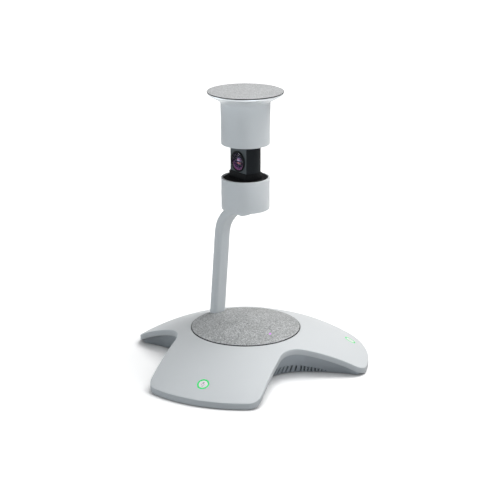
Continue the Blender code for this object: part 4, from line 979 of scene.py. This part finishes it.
def double_d(step, z, steps=24):
    """Loop round the column, this step outside it: a circle cut by flats on both sides."""
    radius = COLUMN_RADIUS + step
    half = math.asin((COLUMN_FLAT + step) / radius)
    loop = []
    for middle in (QUARTER, 3 * QUARTER):
        loop += bow(radius, middle - half, middle + half, steps)
        x, y = loop[-1]
        loop += [(x, level) for level in spread(y, -y, steps)[1:-1]]
    return [(*point, z) for point in loop]


column_hole = double_d(FIT, 0.0)


def hole_at(z, radius=None):
    """The column's hole at a height, or a circle whose points lie on the same bearings."""
    points = [Vector(point[:2]) for point in column_hole]
    return [(*(point if radius is None else point.normalized() * radius), z) for point in points]


deck_outer = cup_inner - FIT
deck_loops = [hole_at(deck_top, deck_outer - CUP_LIP), hole_at(deck_top - CUP_LIP, deck_outer),
              hole_at(deck_low, deck_outer), hole_at(deck_low), hole_at(deck_top)]
deck_black = moulded("deck_black", DECK_BLACK, rough=0.85, cloud=25, grain=0.4, depth=0.006, shine=0.03)
deck = show("deck_disc", loft(deck_loops, closed=True), deck_black)
place(deck, "black_plastic", "deck_plate")
collar_loops = []
for turn in EDGE_TURNS:
    step = COLLAR_STEP - COLLAR_EDGE * (1 - math.sin(turn))
    collar_loops.append(double_d(step, COLLAR_TOP - COLLAR_EDGE * (1 - math.cos(turn))))
collar_loops += [double_d(COLLAR_STEP, deck_top + FIT), hole_at(deck_top + FIT), hole_at(COLLAR_TOP)]
collar = show("raised_collar", loft(collar_loops, closed=True), satin_black)
place(collar, "black_plastic", "column_collar")

# Camera column: a black moulded bar with two flats, and a lens with its bezel, glass and barrel on each flat.
# The front glass is thin and dark; behind it show the barrel's steps, painted with a glowing purple
# reflection on their lower side, and one more element painted with glowing glints.
COLUMN_BOTTOM = 186.5 * MM
COLUMN_TOP = 250.0 * MM
COLUMN_EDGE = 0.5 * MM
COLUMN_BLACK = (0.014, 0.016, 0.018)
# Painted sheen: a lighter grey for the column's flats.
FLAT_SHEEN_TONE = (0.072, 0.084, 0.09)
LENS_Z = 220.6 * MM
LENS_RADIUS = 8.8 * MM
LENS_FACETS = 72
LENS_EDGE = 0.4 * MM
LENS_CROWN = 0.6 * MM
LENS_ROWS = 12
LENS_MIDDLE = 0.05
BEZEL_RADIUS = 10.7 * MM
BEZEL_HEIGHT = 0.9 * MM
BEZEL_EDGE = 0.4 * MM
BARREL_LENGTH = 8.0 * MM
BARREL_STEPS = (
    (0.42, 5.6), (2.2, 6.2), (3.4, 6.0), (3.4, 4.4), (5.2, 4.2), (5.2, 2.6), (6.9, 2.0), (7.5, 0.0))
BARREL_REFLECTION_GLOW = 0.35
BARREL_FADE = 2.2
ELEMENT_RADIUS = 4.4 * MM
ELEMENT_SINK = 0.4 * MM
ELEMENT_CROWN = 1.8 * MM
ELEMENT_ROWS = 12
ELEMENT_MIDDLE = 0.1
ELEMENT_SEAT = 5.2 * MM
ELEMENT_GLINT_GLOW = 0.85
ELEMENT_FADE = 1.4
BARREL_BLACK = (0.013, 0.012, 0.022)
# Painted reflection colours for the barrel's steps.
REFLECTION_PURPLE = (0.06, 0.03, 0.12)
REFLECTION_ROSE = (0.26, 0.08, 0.24)
REFLECTION_PAINT_PLAIN = {"Roughness": 0.2, "Specular IOR Level": 0.03}
GLINT_PALE = (0.34, 0.32, 0.55)
GLINT_ROSE = (0.42, 0.12, 0.24)
GLINT_ORANGE = (0.5, 0.24, 0.12)
GLINT_BLUE = (0.06, 0.08, 0.3)
GLASS_DARK = (0.01, 0.006, 0.014)
GLASS_VIOLET = (0.02, 0.01, 0.03)
GLASS_PLAIN = {"Alpha": 0.15, "Specular IOR Level": 0.2}
GLASS_HAZE = 200.0
GLASS_ROUGH = 0.01
GLASS_SPREAD = 0.03

BLACK_GRAIN = {"cloud": 30, "grain": 0.35, "depth": 0.01}
column_black = moulded("column_black", COLUMN_BLACK, rough=0.5, shine=0.05, **BLACK_GRAIN)
flat_painted_sheen = moulded("flat_painted_sheen", FLAT_SHEEN_TONE, rough=0.45, shine=0.1, **BLACK_GRAIN)
lens_spot = Matrix.Translation((0.0, 0.0, LENS_Z))
lens_axes = [lens_spot @ Matrix.Rotation(side * QUARTER, 4, "Y") for side in (-1, 1)]
column_loops = [double_d(-COLUMN_EDGE, COLUMN_TOP), double_d(0.0, COLUMN_TOP - COLUMN_EDGE),
                double_d(0.0, COLUMN_BOTTOM)]
column = show("camera_bar", loft(column_loops), column_black)
for axis in lens_axes:
    carve(column, drum("lens_pocket", LENS_RADIUS + FIT, COLUMN_RADIUS, FIT, LENS_FACETS, axis))
# Painted sheen: the flats take a lighter grey than the round black sides, for the light they catch.
recoat(column, flat_painted_sheen, lambda middle: abs(middle.x) > COLUMN_FLAT - FIT)
place(column, "black_plastic", "camera_column")


def painted_reflection(name, stops, reach, glow, fade, rings):
    """Painted reflections on a lens part, which glow: colours in rings, strongest at its foot, or by height,
    strongest at its middle.
    """
    material, inputs, spot = begin(name, {**REFLECTION_PAINT_PLAIN, "Emission Strength": glow})
    flat = spot.make(
        "ShaderNodeMapping", {"Vector": spot, "Location": (0.0, 0.0, -LENS_Z), "Scale": (0.0, 1.0, 1.0)})
    away = flat.length() * (1 / reach)
    rise = flat.make("ShaderNodeSeparateXYZ", {0: flat}, "Z") * (0.5 / reach) + 0.5
    band = spot.make("ShaderNodeValToRGB", {"Fac": away if rings else rise}, stops=stops)
    weight = fade * (0.5 - rise) if rings else fade * (1.0 - away)
    tone = weight.clamp().mix(BARREL_BLACK, band)
    tone.feed(inputs["Base Color"])
    tone.feed(inputs["Emission Color"])
    return material


# Painted reflection: purple and rose rings that glow on the barrel's lower side, where light would catch its
# steps.
barrel_bands = [(0.0, BARREL_BLACK), (0.64, BARREL_BLACK), (0.74, REFLECTION_PURPLE), (0.9, REFLECTION_ROSE),
                (1.0, REFLECTION_ROSE)]
barrel_reflection_paint = painted_reflection("barrel_painted_reflection", barrel_bands, LENS_RADIUS, BARREL_REFLECTION_GLOW, BARREL_FADE, rings=True)
# Painted glints: the inner element's colours by height, glowing strongest at its middle, stand in for
# reflected lamps.
glint_bands = [
    (0.0, GLINT_BLUE), (0.12, GLINT_BLUE), (0.24, GLINT_ORANGE), (0.34, GLINT_ROSE),
    (0.42, BARREL_BLACK), (0.52, BARREL_BLACK), (0.6, GLINT_PALE), (0.72, GLINT_ROSE),
    (0.84, GLINT_PALE), (1.0, GLINT_BLUE)]
element_glint_paint = painted_reflection("element_painted_glints", glint_bands, ELEMENT_RADIUS, ELEMENT_GLINT_GLOW, ELEMENT_FADE, rings=False)
lens_glass, glass_inputs, glass_spot = begin("coated_glass", GLASS_PLAIN)
haze = glass_spot.noise(GLASS_HAZE, detail=2.0)
haze.mix(GLASS_DARK, GLASS_VIOLET).feed(glass_inputs["Base Color"])
(haze * GLASS_SPREAD + GLASS_ROUGH).feed(glass_inputs["Roughness"])

lens_seat = COLUMN_FLAT + FIT
bezel_bore = LENS_RADIUS + FIT
bezel_front = lens_seat + BEZEL_HEIGHT
bezel_profile = soften([(BEZEL_RADIUS, bezel_front, BEZEL_EDGE), (BEZEL_RADIUS, lens_seat),
                        (bezel_bore, lens_seat), (bezel_bore, bezel_front, BEZEL_EDGE / 3)])
glass_back = lens_seat + 2 * FIT
glass_profile = []
for i in range(LENS_ROWS + 1):
    share = (i + LENS_MIDDLE) / (LENS_ROWS + LENS_MIDDLE)
    glass_profile.append((LENS_RADIUS * share, glass_back + LENS_EDGE + LENS_CROWN * (1 - share ** 2)))
glass_profile += [(LENS_RADIUS, glass_back), (LENS_RADIUS * LENS_MIDDLE, glass_back)]
barrel_front = lens_seat + FIT
barrel_back = barrel_front - BARREL_LENGTH
barrel_profile = [
    (LENS_RADIUS, barrel_front), (LENS_RADIUS, barrel_back), (LENS_RADIUS * LENS_MIDDLE, barrel_back)]
barrel_profile += [(radius * MM, barrel_front - depth * MM) for radius, depth in BARREL_STEPS]
element_front = barrel_front - ELEMENT_SINK
element_profile = []
for i in range(ELEMENT_ROWS):
    turn = QUARTER * (i + ELEMENT_MIDDLE) / ELEMENT_ROWS
    crown_z = element_front - ELEMENT_CROWN * (1 - math.cos(turn))
    element_profile.append((ELEMENT_RADIUS * math.sin(turn), crown_z))
element_back = element_front - 2 * ELEMENT_CROWN
element_seat = element_back + ELEMENT_CROWN / 2
element_profile += [(ELEMENT_RADIUS, element_seat), (ELEMENT_SEAT, element_seat),
                    (ELEMENT_SEAT, element_back), (ELEMENT_RADIUS * LENS_MIDDLE, element_back)]
lens_parts = (
    ("bezel_ring", bezel_profile, True, satin_black, "black_plastic", "lens_bezel"),
    ("front_glass", glass_profile, False, lens_glass, "coated_glass", "lens_glass"),
    ("stepped_barrel", barrel_profile, True, barrel_reflection_paint, "black_plastic", "lens_barrel"),
    ("inner_element", element_profile, False, element_glint_paint, "coated_glass"))
for index, axis in enumerate(lens_axes, 1):
    for name, profile, hollow, finish, slot, *solids in lens_parts:
        part = show(f"{name}_{index}", lathe(profile, LENS_FACETS, closed=hollow), finish, axis)
        place(part, slot, *[f"{solid}_{index}" for solid in solids])

# Privacy cap: a turned sleeve in the cover's finish that flares to a round top; it slides down the column.
# Its satin turns metallic and brighter under the flare, where the photograph shows a pale band.
# Its top is covered by a disc of lighter acoustic cloth over the microphones.
CAP_BOTTOM = 238.0 * MM
CAP_RADIUS = 25.0 * MM
CAP_WALL = 2.05 * MM
CAP_SHOULDER = (25.15 * MM, 266.0 * MM)
CAP_NECK = (25.5 * MM, 281.7 * MM)
FLANGE_RADIUS = 38.5 * MM
FLANGE_EDGE = 289.3 * MM
FLANGE_TOP = 291.0 * MM
FLANGE_LIP = 1.3 * MM
FLANGE_LEDGE = 2.2 * MM
TOP_ROUND = 0.3 * MM
FLARE_ROUND = 0.9 * MM
NECK_ROUND = 1.6 * MM
SHOULDER_ROUND = 6.0 * MM
MOUTH_ROUND = 0.5 * MM
BORE_ROUND = 0.3 * MM
LIP_ROUND = 0.2 * MM
FLARE_SATIN = 27.0 * MM
FLARE_BRIGHT = 35.0 * MM
FLARE_METAL = 0.65
CAP_PLATE_HEIGHT = 1.2 * MM
CAP_CLOTH_RADIUS = 39.0 * MM
CAP_CLOTH_HEIGHT = 0.8 * MM
CAP_CLOTH_EDGE = 0.3 * MM
CAP_CLOTH_ROWS = 12
CAP_CLOTH_MIDDLE = 0.02
CAP_THREAD = 0.85 * MM
CAP_DARK = (0.26, 0.265, 0.27)
CAP_LIGHT = (0.72, 0.73, 0.735)

cap_bore = CAP_RADIUS - CAP_WALL
lip_inner = FLANGE_RADIUS - FLANGE_LIP
ledge = FLANGE_TOP - FIT - CAP_PLATE_HEIGHT
cap_profile = soften([
    (FLANGE_RADIUS, FLANGE_TOP, TOP_ROUND), (FLANGE_RADIUS, FLANGE_EDGE, FLARE_ROUND),
    (*CAP_NECK, NECK_ROUND), (*CAP_SHOULDER, SHOULDER_ROUND),
    (CAP_RADIUS, CAP_BOTTOM, MOUTH_ROUND), (cap_bore, CAP_BOTTOM, BORE_ROUND),
    (cap_bore, CAP_NECK[1] + CAP_WALL / 2), (lip_inner - FLANGE_LEDGE, ledge),
    (lip_inner, ledge), (lip_inner, FLANGE_TOP, LIP_ROUND)])
flare_satin = moulded("flare_satin", SATIN_PALE, **SATIN)
flare_inputs = flare_satin.node_tree.nodes["Principled BSDF"].inputs
flare_spot = Field(flare_satin.node_tree).make("ShaderNodeTexCoord", output="Object")
level = {0: flare_spot, 1: (1.0, 1.0, 0.0)}
flare_flat = flare_spot.make("ShaderNodeVectorMath", level, operation="MULTIPLY")
flare_flat.length().span(FLARE_SATIN, FLARE_BRIGHT, 0.0, FLARE_METAL).feed(flare_inputs["Metallic"])
cap = show("flared_cap", lathe(cap_profile, HEAD_FACETS, closed=True), flare_satin)
place(cap, "shell_plastic", "cap_sleeve", body="privacy_cap")
cap_cloth_low = FLANGE_TOP + FIT
cap_cloth_high = cap_cloth_low + CAP_CLOTH_HEIGHT
cap_cloth_profile = [(CAP_CLOTH_RADIUS * (i + CAP_CLOTH_MIDDLE) / CAP_CLOTH_ROWS, cap_cloth_high)
                     for i in range(CAP_CLOTH_ROWS)]
cap_cloth_profile += soften([
    (CAP_CLOTH_RADIUS, cap_cloth_high, CAP_CLOTH_EDGE),
    (CAP_CLOTH_RADIUS, cap_cloth_low, CAP_CLOTH_EDGE / 2),
    (CAP_CLOTH_RADIUS / 2, cap_cloth_low)])
cap_cloth = show("cap_cloth", lathe(cap_cloth_profile, HEAD_FACETS),
                 heather("microphone_cloth", CAP_DARK, CAP_LIGHT, CAP_THREAD))
# The faces at the cap cloth's rounded edge take the same near-black finish.
recoat(cap_cloth, edge_dark, lambda middle: middle.xy.length > CAP_CLOTH_RADIUS - CAP_CLOTH_EDGE)
place(cap_cloth, "grey_cloth", "cap_fabric", body="privacy_cap")
